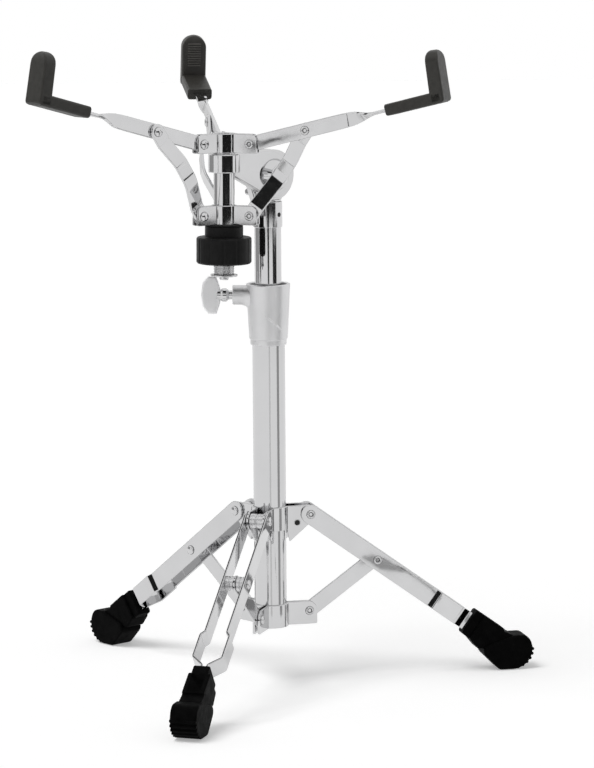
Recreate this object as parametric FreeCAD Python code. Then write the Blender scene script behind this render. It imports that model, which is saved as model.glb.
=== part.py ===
import FreeCAD, Part
import math
import os

from FreeCAD import Vector

# Snare drum stand: a folding tripod, a telescopic tube, a tilter and a three-arm basket.
# Millimetres, +Z up. The origin is on the tube's axis, at the floor.

# Clearances and cut overrun
slide_clearance = 0.3
pivot_clearance = 0.08
side_clearance = 0.3
overrun = 5.0

# Tubes
lower_tube_diameter = 28.6
lower_tube_wall = 1.6
lower_tube_length = 297.1
upper_tube_diameter = 23.5
upper_tube_wall = 1.5
upper_tube_length = 250.0
upper_tube_rise = 69.0
plug_height = 14.0
plug_rim = 1.2
plug_setback = 0.4

# Tripod linkage: leg and brace make an isosceles pair, so the collar stays on the tube
leg_angles = {"right": 12.0, "left": 132.0, "front": 252.0}
pivot_radius = 34.8
link_span = 75.2
leg_spread_angle = 54.0
strip_width = 17.2
strip_sheet = 2.0
strip_offset = 9.75
brace_width = 14.6
bow_offset = 13.0
mouth_offset = 2.6
bow_delay = 62.8
bow_ramp = 4.0
bow_length = 25.0
mouth_ramp = 11.0
tang_length = 25.0

# Tripod collars
collar_sheet = 2.0
leg_collar_gap = 6.4
leg_collar_rise = 8.0
leg_collar_drop = 13.0
gusset_drop = 24.0
gusset_hole_radius = 3.0
gusset_hole_share = 0.42
gusset_hole_drop_share = 0.30
brace_collar_rise = 8.6
brace_collar_drop = 12.0
brace_collar_reach = 7.0
brace_corner_radius = 8.0

# Rivets
rivet_radius = 2.6
rivet_head_radius = 4.6
rivet_head_height = 2.4
rivet_tail_radius = 4.0
rivet_tail_height = 1.4
rivet_dimple_radius = 1.6
rivet_dimple_depth = 1.0
spacer_radius = 6.4
spacer_groove_width = 1.6
spacer_groove_depth = 0.9

# Feet
foot_mouth_height = 44.6
foot_tang_bare = 2.5
foot_socket_rise = 4.6
foot_socket_drop = 3.3
foot_mouth_width = 15.0
foot_tier_width = 20.0
foot_toe_width = 24.0
foot_tier_station = 8.5
foot_tier_length = 23.0
foot_waist_drop = 2.0
foot_sole_start = 27.8
foot_sole_length = 12.3
foot_toe_reach = 58.6
foot_toe_height = 31.0
foot_nose_height = 18.0
foot_crown_length = 17.3
foot_crown_flat = 7.7
foot_heel_share = 0.42
foot_curve_steps = 4
foot_rib_count = 6
foot_rib_radius = 1.4

# Height clamp and its wing screw
clamp_height = 54.0
clamp_top_wall = 5.1
clamp_bottom_wall = 2.6
clamp_lip_height = 5.0
clamp_lip_step = 0.9
clamp_cup_wall = 2.8
clamp_cup_depth = 8.0
boss_radius = 8.6
boss_length = 12.1
boss_margin = 1.4
bush_flange_height = 5.0
bush_sleeve_height = 26.0
bush_sleeve_gap = 0.1

# Wing screws
screw_radius = 4.0
screw_knuckle_radius = 6.0
screw_knuckle_length = 10.5
screw_knuckle_gap = 3.2
wing_length = 15.6
wing_half_height = 16.8
wing_root_half_height = 9.0
wing_thickness = 6.0
wing_nose_share = 0.45

# Leg collar lock
lock_angle = 80.0
lock_block_width = 11.0
lock_block_height = 15.0
lock_block_depth = 10.4
lock_wing_length = 12.0
lock_wing_half_height = 14.0

# Tube cap and tilter
cap_height = 22.5
cap_rise = 3.5
cap_wall = 1.15
cap_chamfer = 2.0
cap_screw_radius = 2.0
cap_screw_angle = 322.0
tilter_angle = 40.0
tilter_radius = 22.3
tilter_gap = 1.2
tilter_plate = 8.0
tilter_face = 2.0
tilter_tooth_depth = 1.4
tilter_tooth_count = 24
tilter_tooth_length = 11.3
tilter_neck_overhang = 2.0
tilter_spigot = 18.0
tilter_boss_radius = 11.4
tilter_boss_height = 8.0
tilter_bolt_radius = 4.0
tilter_head_radius = 8.0
tilter_head_height = 3.0
tilter_nut_wall = 4.0
tilter_nut_length = 11.0
tilter_wing_length = 13.0
tilter_wing_span = 12.0
tilter_wing_thickness = 5.0
bracket_offset = 54.0
basket_tilt_angle = 0.8
sleeve_wall = 4.8
sleeve_rise = 5.0
sleeve_height = 16.0

# Basket post and hubs
post_diameter = 18.0
post_wall = 3.0
post_recess = 0.8
post_tail = 9.4
thread_length = 57.0
thread_pitch = 3.0
thread_depth = 0.7
hub_sheet = 2.2
hub_gap = 1.2
hub_spacing = 62.1
hub_pivot_radius = 24.6
hub_rise = 8.6
hub_drop = 8.0
hub_reach = 7.0
hub_corner_radius = 6.0
nut_neck_wall = 7.6
nut_neck_height = 10.0
nut_flange = 7.4
nut_height = 23.0
nut_chamfer = 1.5
nut_flute_count = 12
nut_flute_radius = 1.3
nut_bore_clearance = 0.3
nut_washer_height = 1.2
end_washer_lip = 2.8
end_washer_height = 1.8
end_screw_head_radius = 4.0
end_screw_head_height = 3.2
end_screw_radius = 2.5
end_screw_length = 22.0

# Basket arms, tips and links
arm_angles = {"right": 339.0, "back": 99.0, "left": 219.0}
arm_slope_angle = 14.6
arm_width = 13.0
arm_sheet = 3.0
arm_mid_span = 51.8
arm_flat_length = 38.2
arm_twist_length = 27.0
arm_twist_steps = 6
arm_neck_length = 13.0
tip_length = 53.5
tip_cover = 4.5
tip_thickness = 10.4
tip_end_thickness = 9.2
tip_width = 22.0
tip_leg_thickness = 12.5
tip_leg_height = 39.5
tip_top_thickness = 11.5
tip_lean_angle = 6.0
tip_round = 2.5
tip_top_round = 9.5
blade_height_share = 0.7
link_width = 13.6
link_sheet = 2.6
link_bow_offset = 12.0
link_bow_start = 16.0
link_bow_ramp = 14.0
link_bow_length = 22.0
link_seat_length = 10.0
link_hole_clearance = 0.8
link_hole_shift_along = 0.39
link_hole_shift_across = 0.36

# Derived places
origin = Vector(0, 0, 0)
x_axis = Vector(1, 0, 0)
tangent_axis = Vector(0, 1, 0)
z_axis = Vector(0, 0, 1)
left_axis = Vector(-1, 0, 0)
lower_tube_radius = lower_tube_diameter / 2
lower_tube_bore = lower_tube_radius - lower_tube_wall
upper_tube_radius = upper_tube_diameter / 2
upper_tube_bore = upper_tube_radius - upper_tube_wall
spread = math.radians(leg_spread_angle)
leg_run_share = math.sin(spread)
leg_fall_share = math.cos(spread)
leg_drop_angle = 90 - leg_spread_angle
bow_start = link_span + bow_delay
bow_full = bow_start + bow_ramp
bow_end = bow_full + bow_length
mouth_station = bow_end + mouth_ramp
strip_end = mouth_station + tang_length
strip_inner_face = strip_offset - strip_sheet / 2
strip_outer_face = strip_offset + strip_sheet / 2
brace_gap = strip_sheet / 2 + side_clearance
upper_pivot_height = foot_mouth_height + (mouth_station + foot_tang_bare) * leg_fall_share
lower_pivot_height = upper_pivot_height - 2 * link_span * leg_fall_share
lower_tube_bottom = lower_pivot_height - brace_collar_drop + plug_rim + plug_setback
lower_tube_top = lower_tube_bottom + lower_tube_length
clamp_top = lower_tube_top + clamp_cup_depth
clamp_bottom = clamp_top - clamp_height
clamp_top_radius = lower_tube_radius + clamp_top_wall
clamp_bottom_radius = lower_tube_radius + clamp_bottom_wall
clamp_cup_radius = clamp_top_radius - clamp_cup_wall
boss_height = clamp_top - boss_radius - boss_margin
boss_reach = clamp_top_radius + boss_length
lock_seat_radius = lower_tube_radius + slide_clearance + collar_sheet
lock_block_reach = lock_seat_radius + lock_block_depth
upper_tube_top = clamp_top + upper_tube_rise
upper_tube_bottom = upper_tube_top - upper_tube_length
cap_radius = upper_tube_radius + cap_wall
cap_top = upper_tube_top + cap_rise
cap_bottom = cap_top - cap_height
cap_screw_height = (cap_bottom + cap_top) / 2
tilt_turn = math.radians(tilter_angle)
tilter_height = cap_top + tilter_radius + tilter_gap
tilt_centre = Vector(0, 0, tilter_height)
tilt_axis = Vector(-math.sin(tilt_turn), math.cos(tilt_turn), 0)
tilter_tooth_inner = tilter_radius - tilter_tooth_length
tilter_neck_half_width = cap_radius + tilter_neck_overhang
tilter_nut_radius = tilter_bolt_radius + tilter_nut_wall
tilter_wing_half_span = tilter_nut_radius + tilter_wing_span
post_radius = post_diameter / 2
bracket_side = tilter_face + side_clearance + tilter_plate / 2
basket_x = -bracket_offset * math.cos(tilt_turn) + bracket_side * math.sin(tilt_turn)
basket_y = -bracket_offset * math.sin(tilt_turn) - bracket_side * math.cos(tilt_turn)
sleeve_radius = post_radius + sleeve_wall
sleeve_bottom = tilter_height + sleeve_rise
sleeve_top = sleeve_bottom + sleeve_height
top_pivot_height = sleeve_top + hub_gap + hub_drop
low_pivot_height = top_pivot_height - hub_spacing
post_top = top_pivot_height + hub_rise - post_recess
nut_top = low_pivot_height - hub_drop - nut_washer_height
nut_neck_bottom = nut_top - nut_neck_height
nut_bottom = nut_neck_bottom - nut_height
nut_neck_radius = post_radius + nut_neck_wall
nut_radius = nut_neck_radius + nut_flange
post_bottom = nut_bottom - post_tail
thread_count = int(thread_length / thread_pitch)
end_washer_radius = post_radius + end_washer_lip
arm_slope = math.radians(arm_slope_angle)
arm_gap = arm_sheet / 2 + side_clearance
arm_twist_start = arm_mid_span + arm_flat_length
arm_twist_end = arm_twist_start + arm_twist_length
tip_start = arm_twist_end + arm_neck_length
tip_back = tip_start + tip_length
arm_end = tip_back - tip_cover
mid_pivot_radius = hub_pivot_radius + arm_mid_span * math.cos(arm_slope)
mid_pivot_height = top_pivot_height + arm_mid_span * math.sin(arm_slope)
basket_link_span = math.hypot(mid_pivot_radius - hub_pivot_radius, mid_pivot_height - low_pivot_height)
link_turn = math.degrees(math.atan2(mid_pivot_height - low_pivot_height, hub_pivot_radius - mid_pivot_radius))
link_offset = arm_sheet / 2 + side_clearance + link_sheet / 2
link_gap = link_sheet / 2 + side_clearance
link_bow_full = link_bow_start + link_bow_ramp
link_bow_end = link_bow_full + link_bow_length


# Building blocks
def cylinder(radius, length, start=origin, axis=z_axis):
    return Part.makeCylinder(radius, length, start, axis)


def ring(outer, inner, bottom, height):
    shell = cylinder(outer, height, Vector(0, 0, bottom))
    bore = cylinder(inner, height + 2 * overrun, Vector(0, 0, bottom - overrun))
    return shell.cut(bore)


def box(low, high):
    size = high.sub(low)
    return Part.makeBox(size.x, size.y, size.z, low)


def turned(shape, azimuth, centre=origin):
    copy = shape.copy()
    copy.rotate(centre, z_axis, azimuth)
    return copy


def moved(shape, x, y, z):
    copy = shape.copy()
    copy.translate(Vector(x, y, z))
    return copy


def swung(shape, angle, radius, height, azimuth):
    # A piece drawn along X from its pivot: dropped by an angle, set at its pivot, turned to its azimuth
    copy = shape.copy()
    copy.rotate(origin, tangent_axis, angle)
    copy.translate(Vector(radius, 0, height))
    return turned(copy, azimuth)


def upright_plate(points, low, high):
    # A closed outline of (x, z) points, as a plate between two tangential offsets
    corners = [Vector(x, low, z) for x, z in points]
    face = Part.Face(Part.makePolygon(corners + [corners[0]]))
    return face.extrude(Vector(0, high - low, 0))


def eye_strip(span, width, low, high):
    # A flat strip along X with round ends, both round its two pivots
    half = width / 2
    body = box(Vector(0, low, -half), Vector(span, high, half))
    ends = [cylinder(half, high - low, Vector(x, low, 0), tangent_axis) for x in (0, span)]
    return body.fuse(ends).removeSplitter()


def pivot_hole(radius, x, z, reach):
    return cylinder(radius, 2 * reach, Vector(x, -reach, z), tangent_axis)


def bent_strip(path, sheet, width):
    # A strip bent along (x, y) points with mitred corners, standing on edge
    sides = ([], [])
    for index, (x, y) in enumerate(path):
        before = path[max(index - 1, 0)]
        after = path[min(index + 1, len(path) - 1)]
        runs = [(x - before[0], y - before[1]), (after[0] - x, after[1] - y)]
        angles = [math.atan2(dy, dx) for dx, dy in runs if (dx, dy) != (0, 0)]
        middle = sum(angles) / len(angles)
        reach = sheet / 2 / math.cos((angles[-1] - angles[0]) / 2)
        for side, sign in zip(sides, (1, -1)):
            shift = sign * reach
            side.append(Vector(x - shift * math.sin(middle), y + shift * math.cos(middle), -width / 2))
    corners = sides[0] + sides[1][::-1]
    face = Part.Face(Part.makePolygon(corners + [corners[0]]))
    return face.extrude(Vector(0, 0, width))


def rivet(outer_face, radius=rivet_radius):
    # A rivet along the tangent: dome on the far side, rolled tail with a dimple on the near side
    tail = -outer_face - rivet_tail_height
    crown = outer_face + rivet_head_height
    flat = [
        Vector(0, crown, 0),
        Vector(0, tail + rivet_dimple_depth, 0),
        Vector(rivet_dimple_radius, tail + rivet_dimple_depth, 0),
        Vector(rivet_dimple_radius, tail, 0),
        Vector(rivet_tail_radius - rivet_dimple_depth / 2, tail, 0),
        Vector(rivet_tail_radius, -outer_face, 0),
        Vector(radius, -outer_face, 0),
        Vector(radius, outer_face, 0),
        Vector(rivet_head_radius, outer_face, 0),
    ]
    edges = [Part.LineSegment(a, b).toShape() for a, b in zip(flat, flat[1:])]
    dome = (rivet_head_radius ** 2 + rivet_head_height ** 2) / (2 * rivet_head_height)
    half_angle = math.asin(rivet_head_radius / dome) / 2
    middle = Vector(dome * math.sin(half_angle), crown - dome + dome * math.cos(half_angle), 0)
    edges.append(Part.Arc(flat[-1], middle, flat[0]).toShape())
    return Part.Face(Part.Wire(edges)).revolve(origin, tangent_axis, 360)


def keep_beside(shape, azimuth, side, gap):
    # Keep what lies on one side of the radial plane at an azimuth, past a gap
    reach = shape.BoundBox.DiagonalLength
    low = Vector(-reach, gap, shape.BoundBox.ZMin - overrun)
    high = Vector(reach, reach, shape.BoundBox.ZMax + overrun)
    half_space = box(low, high)
    if side < 0:
        half_space.rotate(origin, Vector(1, 0, 0), 180)
        half_space.translate(Vector(0, 0, shape.BoundBox.ZMin + shape.BoundBox.ZMax))
    return shape.common(turned(half_space, azimuth))


def stamped_collar(azimuths, bore, sheet, gap, bottom, height, flange):
    # Three equal stamped plates, each a curved wrap with a flange along the limb at either end
    plates = []
    order = sorted(azimuths.values())
    for azimuth, following in zip(order, order[1:] + order[:1]):
        wrap = ring(bore + sheet, bore, bottom, height)
        wrap = keep_beside(wrap, azimuth, 1, gap)
        wrap = keep_beside(wrap, following, -1, gap)
        near = turned(flange(gap, gap + sheet), azimuth)
        far = turned(flange(-gap - sheet, -gap), following)
        plates.append(wrap.fuse([near, far]).removeSplitter())
    return plates


def wing_plate(length, half_height, root_half_height, thickness):
    # A leaf-shaped wing in the XZ plane, growing from x = 0
    nose = length * wing_nose_share
    outline = [
        (0, -root_half_height),
        (length - nose, -half_height),
        (length, -half_height + nose),
        (length, half_height - nose),
        (length - nose, half_height),
        (0, root_half_height),
    ]
    plate = upright_plate(outline, -thickness / 2, thickness / 2)
    upright = [edge for edge in plate.Edges if edge.BoundBox.YLength > thickness / 2]
    return plate.makeFillet(thickness / 2, upright)


def wing_screw(grip, length, half_height):
    # A screw along X: tip at x = 0, threaded part of a given length, knuckle, then the wing
    shank = cylinder(screw_radius, grip + screw_knuckle_gap + screw_knuckle_length, origin, x_axis)
    knuckle_start = grip + screw_knuckle_gap
    knuckle = cylinder(screw_knuckle_radius, screw_knuckle_length, Vector(knuckle_start, 0, 0), x_axis)
    wing = wing_plate(length, half_height, wing_root_half_height, wing_thickness)
    wing.translate(Vector(knuckle_start + screw_knuckle_length - wing_thickness / 2, 0, 0))
    return shank.fuse([knuckle, wing]).removeSplitter()


# Tubes
def lower_tube():
    tube = ring(lower_tube_radius, lower_tube_bore, lower_tube_bottom, lower_tube_top - lower_tube_bottom)
    way = cylinder(screw_radius + slide_clearance, boss_reach, Vector(0, 0, boss_height), left_axis)
    return tube.cut(way)


def tube_plug():
    rim = cylinder(lower_tube_radius, plug_rim, Vector(0, 0, lower_tube_bottom - plug_rim))
    stub = cylinder(lower_tube_bore, plug_height, Vector(0, 0, lower_tube_bottom))
    cavity = cylinder(lower_tube_bore - plug_rim, plug_height, Vector(0, 0, lower_tube_bottom + plug_rim))
    return rim.fuse(stub).cut(cavity).removeSplitter()


def upper_tube():
    return ring(upper_tube_radius, upper_tube_bore, upper_tube_bottom, upper_tube_top - upper_tube_bottom)


def height_glide():
    # Plastic end piece that runs in the lower tube and carries the turning upper tube
    collar = cylinder(lower_tube_bore - bush_sleeve_gap, plug_rim, Vector(0, 0, upper_tube_bottom - plug_rim))
    stub = cylinder(upper_tube_bore - pivot_clearance, plug_height, Vector(0, 0, upper_tube_bottom - plug_rim))
    bore = cylinder(upper_tube_bore - plug_rim, plug_height + 2 * overrun,
                    Vector(0, 0, upper_tube_bottom - plug_height))
    return collar.fuse(stub).cut(bore).removeSplitter()


# Height clamp
def height_clamp():
    height = clamp_top - clamp_bottom
    body = Part.makeCone(clamp_bottom_radius, clamp_top_radius, height - clamp_lip_height)
    body.translate(Vector(0, 0, clamp_bottom + clamp_lip_height))
    lip = cylinder(clamp_bottom_radius - clamp_lip_step, clamp_lip_height, Vector(0, 0, clamp_bottom))
    boss = cylinder(boss_radius, boss_reach, Vector(0, 0, boss_height), left_axis)
    casting = body.fuse([lip, boss]).removeSplitter()
    tube_way = cylinder(lower_tube_radius, lower_tube_top - clamp_bottom + overrun,
                        Vector(0, 0, clamp_bottom - overrun))
    cup = cylinder(clamp_cup_radius, clamp_top - lower_tube_top + overrun, Vector(0, 0, lower_tube_top))
    screw_way = cylinder(screw_radius + slide_clearance, boss_reach + overrun, Vector(0, 0, boss_height),
                         left_axis)
    return casting.cut(tube_way.fuse([cup, screw_way]))


def clamp_bush():
    flange_radius = clamp_cup_radius
    bore = upper_tube_radius + bush_sleeve_gap
    flange = cylinder(flange_radius, bush_flange_height, Vector(0, 0, lower_tube_top))
    sleeve = cylinder(lower_tube_bore, bush_sleeve_height, Vector(0, 0, lower_tube_top - bush_sleeve_height))
    way = cylinder(bore, bush_sleeve_height + bush_flange_height + 2 * overrun,
                   Vector(0, 0, lower_tube_top - bush_sleeve_height - overrun))
    screw_way = cylinder(screw_radius + slide_clearance, boss_reach, Vector(0, 0, boss_height), left_axis)
    return flange.fuse(sleeve).cut(way.fuse(screw_way)).removeSplitter()


def clamp_wing_screw():
    tip = upper_tube_radius + slide_clearance
    screw = wing_screw(boss_reach - tip, wing_length, wing_half_height)
    screw.rotate(origin, z_axis, 180)
    return moved(screw, -tip, 0, boss_height)


# Tripod
def leg_collar_flange(low, high):
    inner = lower_tube_radius
    floor = upper_pivot_height - gusset_drop
    half = leg_collar_rise
    outline = [
        (inner, upper_pivot_height + half),
        (pivot_radius, upper_pivot_height + half),
        (pivot_radius, upper_pivot_height - half),
        (inner + collar_sheet, floor),
        (inner, floor),
    ]
    plate = upright_plate(outline, low, high)
    end = cylinder(half, high - low, Vector(pivot_radius, low, upper_pivot_height), tangent_axis)
    plate = plate.fuse(end).removeSplitter()
    hole_x = inner + (pivot_radius - inner) * gusset_hole_share
    hole_z = upper_pivot_height - gusset_drop * gusset_hole_drop_share
    reach = leg_collar_gap + collar_sheet + overrun
    plate = plate.cut(pivot_hole(gusset_hole_radius, hole_x, hole_z, reach))
    return plate.cut(pivot_hole(rivet_radius + pivot_clearance, pivot_radius, upper_pivot_height, reach))


def brace_collar_flange(low, high):
    inner = lower_tube_radius
    top = lower_pivot_height + brace_collar_rise
    bottom = lower_pivot_height - brace_collar_drop
    outer = pivot_radius + brace_collar_reach
    outline = [(inner, top), (outer, top), (outer, bottom), (inner, bottom)]
    plate = upright_plate(outline, low, high)
    corner = [edge for edge in plate.Edges
              if abs(edge.CenterOfMass.x - outer) + abs(edge.CenterOfMass.z - top) < collar_sheet / 2]
    plate = plate.makeFillet(brace_corner_radius, corner)
    reach = collar_sheet + overrun
    return plate.cut(pivot_hole(rivet_radius, pivot_radius, lower_pivot_height, reach))


def leg_collar():
    bottom = upper_pivot_height - leg_collar_drop
    height = leg_collar_rise + leg_collar_drop
    bore = lower_tube_radius + slide_clearance
    plates = stamped_collar(leg_angles, bore, collar_sheet, leg_collar_gap, bottom, height,
                            leg_collar_flange)
    tube_way = cylinder(bore, height + 2 * gusset_drop, Vector(0, 0, bottom - gusset_drop))
    lock_way = lock_frame(cylinder(screw_radius + slide_clearance, lock_block_reach, origin, x_axis))
    return Part.makeCompound([plate.cut(tube_way.fuse(lock_way)) for plate in plates])


def brace_collar():
    bottom = lower_pivot_height - brace_collar_drop
    height = brace_collar_rise + brace_collar_drop
    plates = stamped_collar(leg_angles, lower_tube_radius, collar_sheet, brace_gap, bottom, height,
                            brace_collar_flange)
    tube_way = cylinder(lower_tube_radius, height + 2 * overrun, Vector(0, 0, bottom - overrun))
    return Part.makeCompound([plate.cut(tube_way) for plate in plates])


def brace_collar_rivets():
    pin = rivet(brace_gap + collar_sheet)
    pins = [swung(pin, 0, pivot_radius, lower_pivot_height, azimuth) for azimuth in leg_angles.values()]
    return Part.makeCompound(pins)


def brace(azimuth):
    half = strip_sheet / 2
    strip = eye_strip(link_span, brace_width, -half, half)
    for x in (0, link_span):
        strip = strip.cut(pivot_hole(rivet_radius + pivot_clearance, x, 0, brace_width))
    return swung(strip, -leg_drop_angle, pivot_radius, lower_pivot_height, azimuth)


def leg_strip(side):
    start = -strip_width
    path = [
        (start, strip_offset),
        (bow_start, strip_offset),
        (bow_full, bow_offset),
        (bow_end, bow_offset),
        (mouth_station, mouth_offset),
        (strip_end, mouth_offset),
    ]
    strip = bent_strip([(x, side * y) for x, y in path], strip_sheet, strip_width)
    trim = eye_strip(strip_end, strip_width, -bow_offset - overrun, bow_offset + overrun)
    strip = strip.common(trim)
    for x in (0, link_span):
        strip = strip.cut(pivot_hole(rivet_radius, x, 0, bow_offset + overrun))
    return strip


def on_leg(shape, azimuth):
    return swung(shape, leg_drop_angle, pivot_radius, upper_pivot_height, azimuth)


def leg_rivets(azimuth):
    pin = rivet(strip_outer_face)
    return Part.makeCompound([on_leg(moved(pin, x, 0, 0), azimuth) for x in (0, link_span)])


def spacer(low, high):
    # A turned bush with a groove round its middle
    bush = cylinder(spacer_radius, high - low, Vector(0, low, 0), tangent_axis)
    middle = (low + high) / 2
    groove = cylinder(spacer_radius + overrun, spacer_groove_width,
                      Vector(0, middle - spacer_groove_width / 2, 0), tangent_axis)
    core = cylinder(spacer_radius - spacer_groove_depth, high - low, Vector(0, low, 0), tangent_axis)
    bush = bush.cut(groove.cut(core))
    return bush.cut(pivot_hole(rivet_radius, 0, 0, bow_offset + overrun))


def leg_spacers(azimuth):
    inner = brace_gap
    outer = strip_inner_face
    pair = [spacer(inner, outer), spacer(-outer, -inner)]
    solids = [moved(bush, link_span, 0, 0) for bush in pair]
    between_ears = leg_collar_gap - side_clearance
    solids.append(spacer(-between_ears, between_ears))
    return Part.makeCompound([on_leg(bush, azimuth) for bush in solids])


def foot(azimuth):
    # Side view in radius and height: a socket square to the leg, a wider tier on it and a round ribbed toe
    mouth_x = pivot_radius + (mouth_station + foot_tang_bare) * leg_run_share
    top = strip_width / 2 + foot_socket_rise
    low = -strip_width / 2 - foot_socket_drop

    def at(station, across):
        x = mouth_x + station * leg_run_share + across * leg_fall_share
        return (x, foot_mouth_height - station * leg_fall_share + across * leg_run_share)

    tier_end = foot_tier_station + foot_tier_length
    sole_x = mouth_x + foot_sole_start
    sole_end = sole_x + foot_sole_length
    toe_x = mouth_x + foot_toe_reach
    crown_x = toe_x - foot_crown_length
    crown_end = crown_x + foot_crown_flat
    mouth_low = at(0, low)
    heel_x = mouth_low[0] + (sole_x - mouth_low[0]) * foot_heel_share
    heel_z = mouth_low[1] * (1 - foot_heel_share)
    turns = [math.radians(90 * step / foot_curve_steps) for step in range(1, foot_curve_steps + 1)]
    under = [(sole_end + (toe_x - sole_end) * math.sin(turn), foot_nose_height * (1 - math.cos(turn)))
             for turn in turns]
    over = [(crown_end + (toe_x - crown_end) * math.cos(turn),
             foot_nose_height + (foot_toe_height - foot_nose_height) * math.sin(turn)) for turn in turns]
    socket = [at(0, top), at(tier_end, top), at(tier_end, low), mouth_low]
    tier = [at(foot_tier_station, top), at(tier_end, top), at(tier_end, top - foot_waist_drop),
            (crown_x, foot_toe_height), (sole_end, foot_nose_height), (heel_x, heel_z), at(foot_tier_station, low)]
    toe = [(sole_x, 0), (sole_end, 0)] + under + over + [(crown_x, foot_toe_height), (heel_x, heel_z)]
    body = upright_plate(socket, -foot_mouth_width / 2, foot_mouth_width / 2)
    body = body.fuse([upright_plate(tier, -foot_tier_width / 2, foot_tier_width / 2),
                      upright_plate(toe, -foot_toe_width / 2, foot_toe_width / 2)])
    for index in range(foot_rib_count):
        turn = math.radians(90 * (index + 1) / foot_rib_count)
        x = sole_end + (toe_x - sole_end) * math.sin(turn)
        z = foot_rib_radius + (foot_nose_height - foot_rib_radius) * (1 - math.cos(turn))
        start = Vector(x, -foot_toe_width / 2, z)
        body = body.fuse(cylinder(foot_rib_radius, foot_toe_width, start, tangent_axis))
    body = turned(body.removeSplitter(), azimuth)
    for side in (1, -1):
        body = body.cut(on_leg(leg_strip(side), azimuth))
    return body


# Leg collar lock
def lock_frame(shape):
    copy = moved(shape, 0, 0, upper_pivot_height - (leg_collar_drop - leg_collar_rise) / 2)
    return turned(copy, lock_angle)


def collar_lock_block():
    half = lock_block_width / 2
    rise = lock_block_height / 2
    block = box(Vector(0, -half, -rise), Vector(lock_block_reach, half, rise))
    inside = cylinder(lock_seat_radius, lock_block_height + 2 * overrun, Vector(0, 0, -rise - overrun))
    screw_way = cylinder(screw_radius + slide_clearance, lock_block_reach + overrun, origin, x_axis)
    return lock_frame(block.cut(inside.fuse(screw_way)))


def collar_wing_screw():
    tip = lower_tube_radius + slide_clearance
    screw = wing_screw(lock_block_reach - tip, lock_wing_length, lock_wing_half_height)
    return lock_frame(moved(screw, tip, 0, 0))


# Tilter
def tilter_frame(shape):
    return turned(shape, tilter_angle)


def tube_cap():
    cap = ring(cap_radius, upper_tube_radius, cap_bottom, cap_top - cap_bottom)
    rim = [edge for edge in cap.Edges if abs(edge.CenterOfMass.z - cap_top) < cap_chamfer
           and edge.BoundBox.XLength > 2 * upper_tube_radius + cap_chamfer / 2]
    cap = cap.makeChamfer(cap_chamfer / 2, rim)
    return cap.cut(cap_screw_way())


def cap_screw_way():
    hole = cylinder(cap_screw_radius, cap_radius + overrun, Vector(0, 0, cap_screw_height), x_axis)
    return turned(hole, cap_screw_angle)


def cap_screw():
    length = cap_radius - upper_tube_radius - pivot_clearance
    screw = cylinder(cap_screw_radius, length, Vector(upper_tube_radius, 0, cap_screw_height), x_axis)
    socket = cylinder(cap_screw_radius / 2, length, Vector(upper_tube_radius + length / 2, 0, cap_screw_height),
                      x_axis)
    return turned(screw.cut(socket), cap_screw_angle)


def toothed(disc, face, depth):
    # Radial V grooves in a disc's face
    pitch = 360 / tilter_tooth_count
    half = tilter_radius * math.radians(pitch) / 4
    groove_points = [Vector(0, face, -half), Vector(0, face, half), Vector(0, face + depth, 0)]
    groove = Part.Face(Part.makePolygon(groove_points + [groove_points[0]]))
    groove = groove.extrude(Vector(tilter_radius + overrun, 0, 0))
    inner = pivot_hole(tilter_tooth_inner, 0, 0, tilter_radius)
    groove = groove.cut(inner)
    cuts = []
    for index in range(tilter_tooth_count):
        copy = groove.copy()
        copy.rotate(origin, tangent_axis, index * pitch)
        copy.translate(Vector(0, 0, tilter_height))
        cuts.append(copy)
    return disc.cut(cuts)


def tilter_post():
    # The tube's half: a toothed disc on a tapered neck, with a spigot in the tube
    face = -tilter_face
    back = face + tilter_plate
    disc = cylinder(tilter_radius, tilter_plate, Vector(0, face, tilter_height), tangent_axis)
    neck_top = tilter_height - tilter_radius / 2
    wide = math.sqrt(tilter_radius ** 2 - (tilter_radius / 2) ** 2)
    neck = upright_plate([(-wide, neck_top), (wide, neck_top), (tilter_neck_half_width, cap_top),
                          (-tilter_neck_half_width, cap_top)], face, back)
    foot_disc = cylinder(cap_radius - cap_chamfer / 2, cap_chamfer, Vector(0, 0, cap_top))
    spigot = cylinder(upper_tube_bore, cap_top - upper_tube_top + tilter_spigot,
                      Vector(0, 0, upper_tube_top - tilter_spigot))
    throat = cylinder(upper_tube_radius, cap_top - upper_tube_top, Vector(0, 0, upper_tube_top))
    bracket_way = cylinder(tilter_radius + side_clearance, tilter_radius, Vector(0, face, tilter_height),
                           Vector(0, -1, 0))
    post = disc.fuse([neck, foot_disc, spigot, throat]).cut(bracket_way).removeSplitter()
    post = post.cut(pivot_hole(tilter_bolt_radius, 0, tilter_height, tilter_radius))
    return tilter_frame(toothed(post, face, tilter_tooth_depth))


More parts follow.
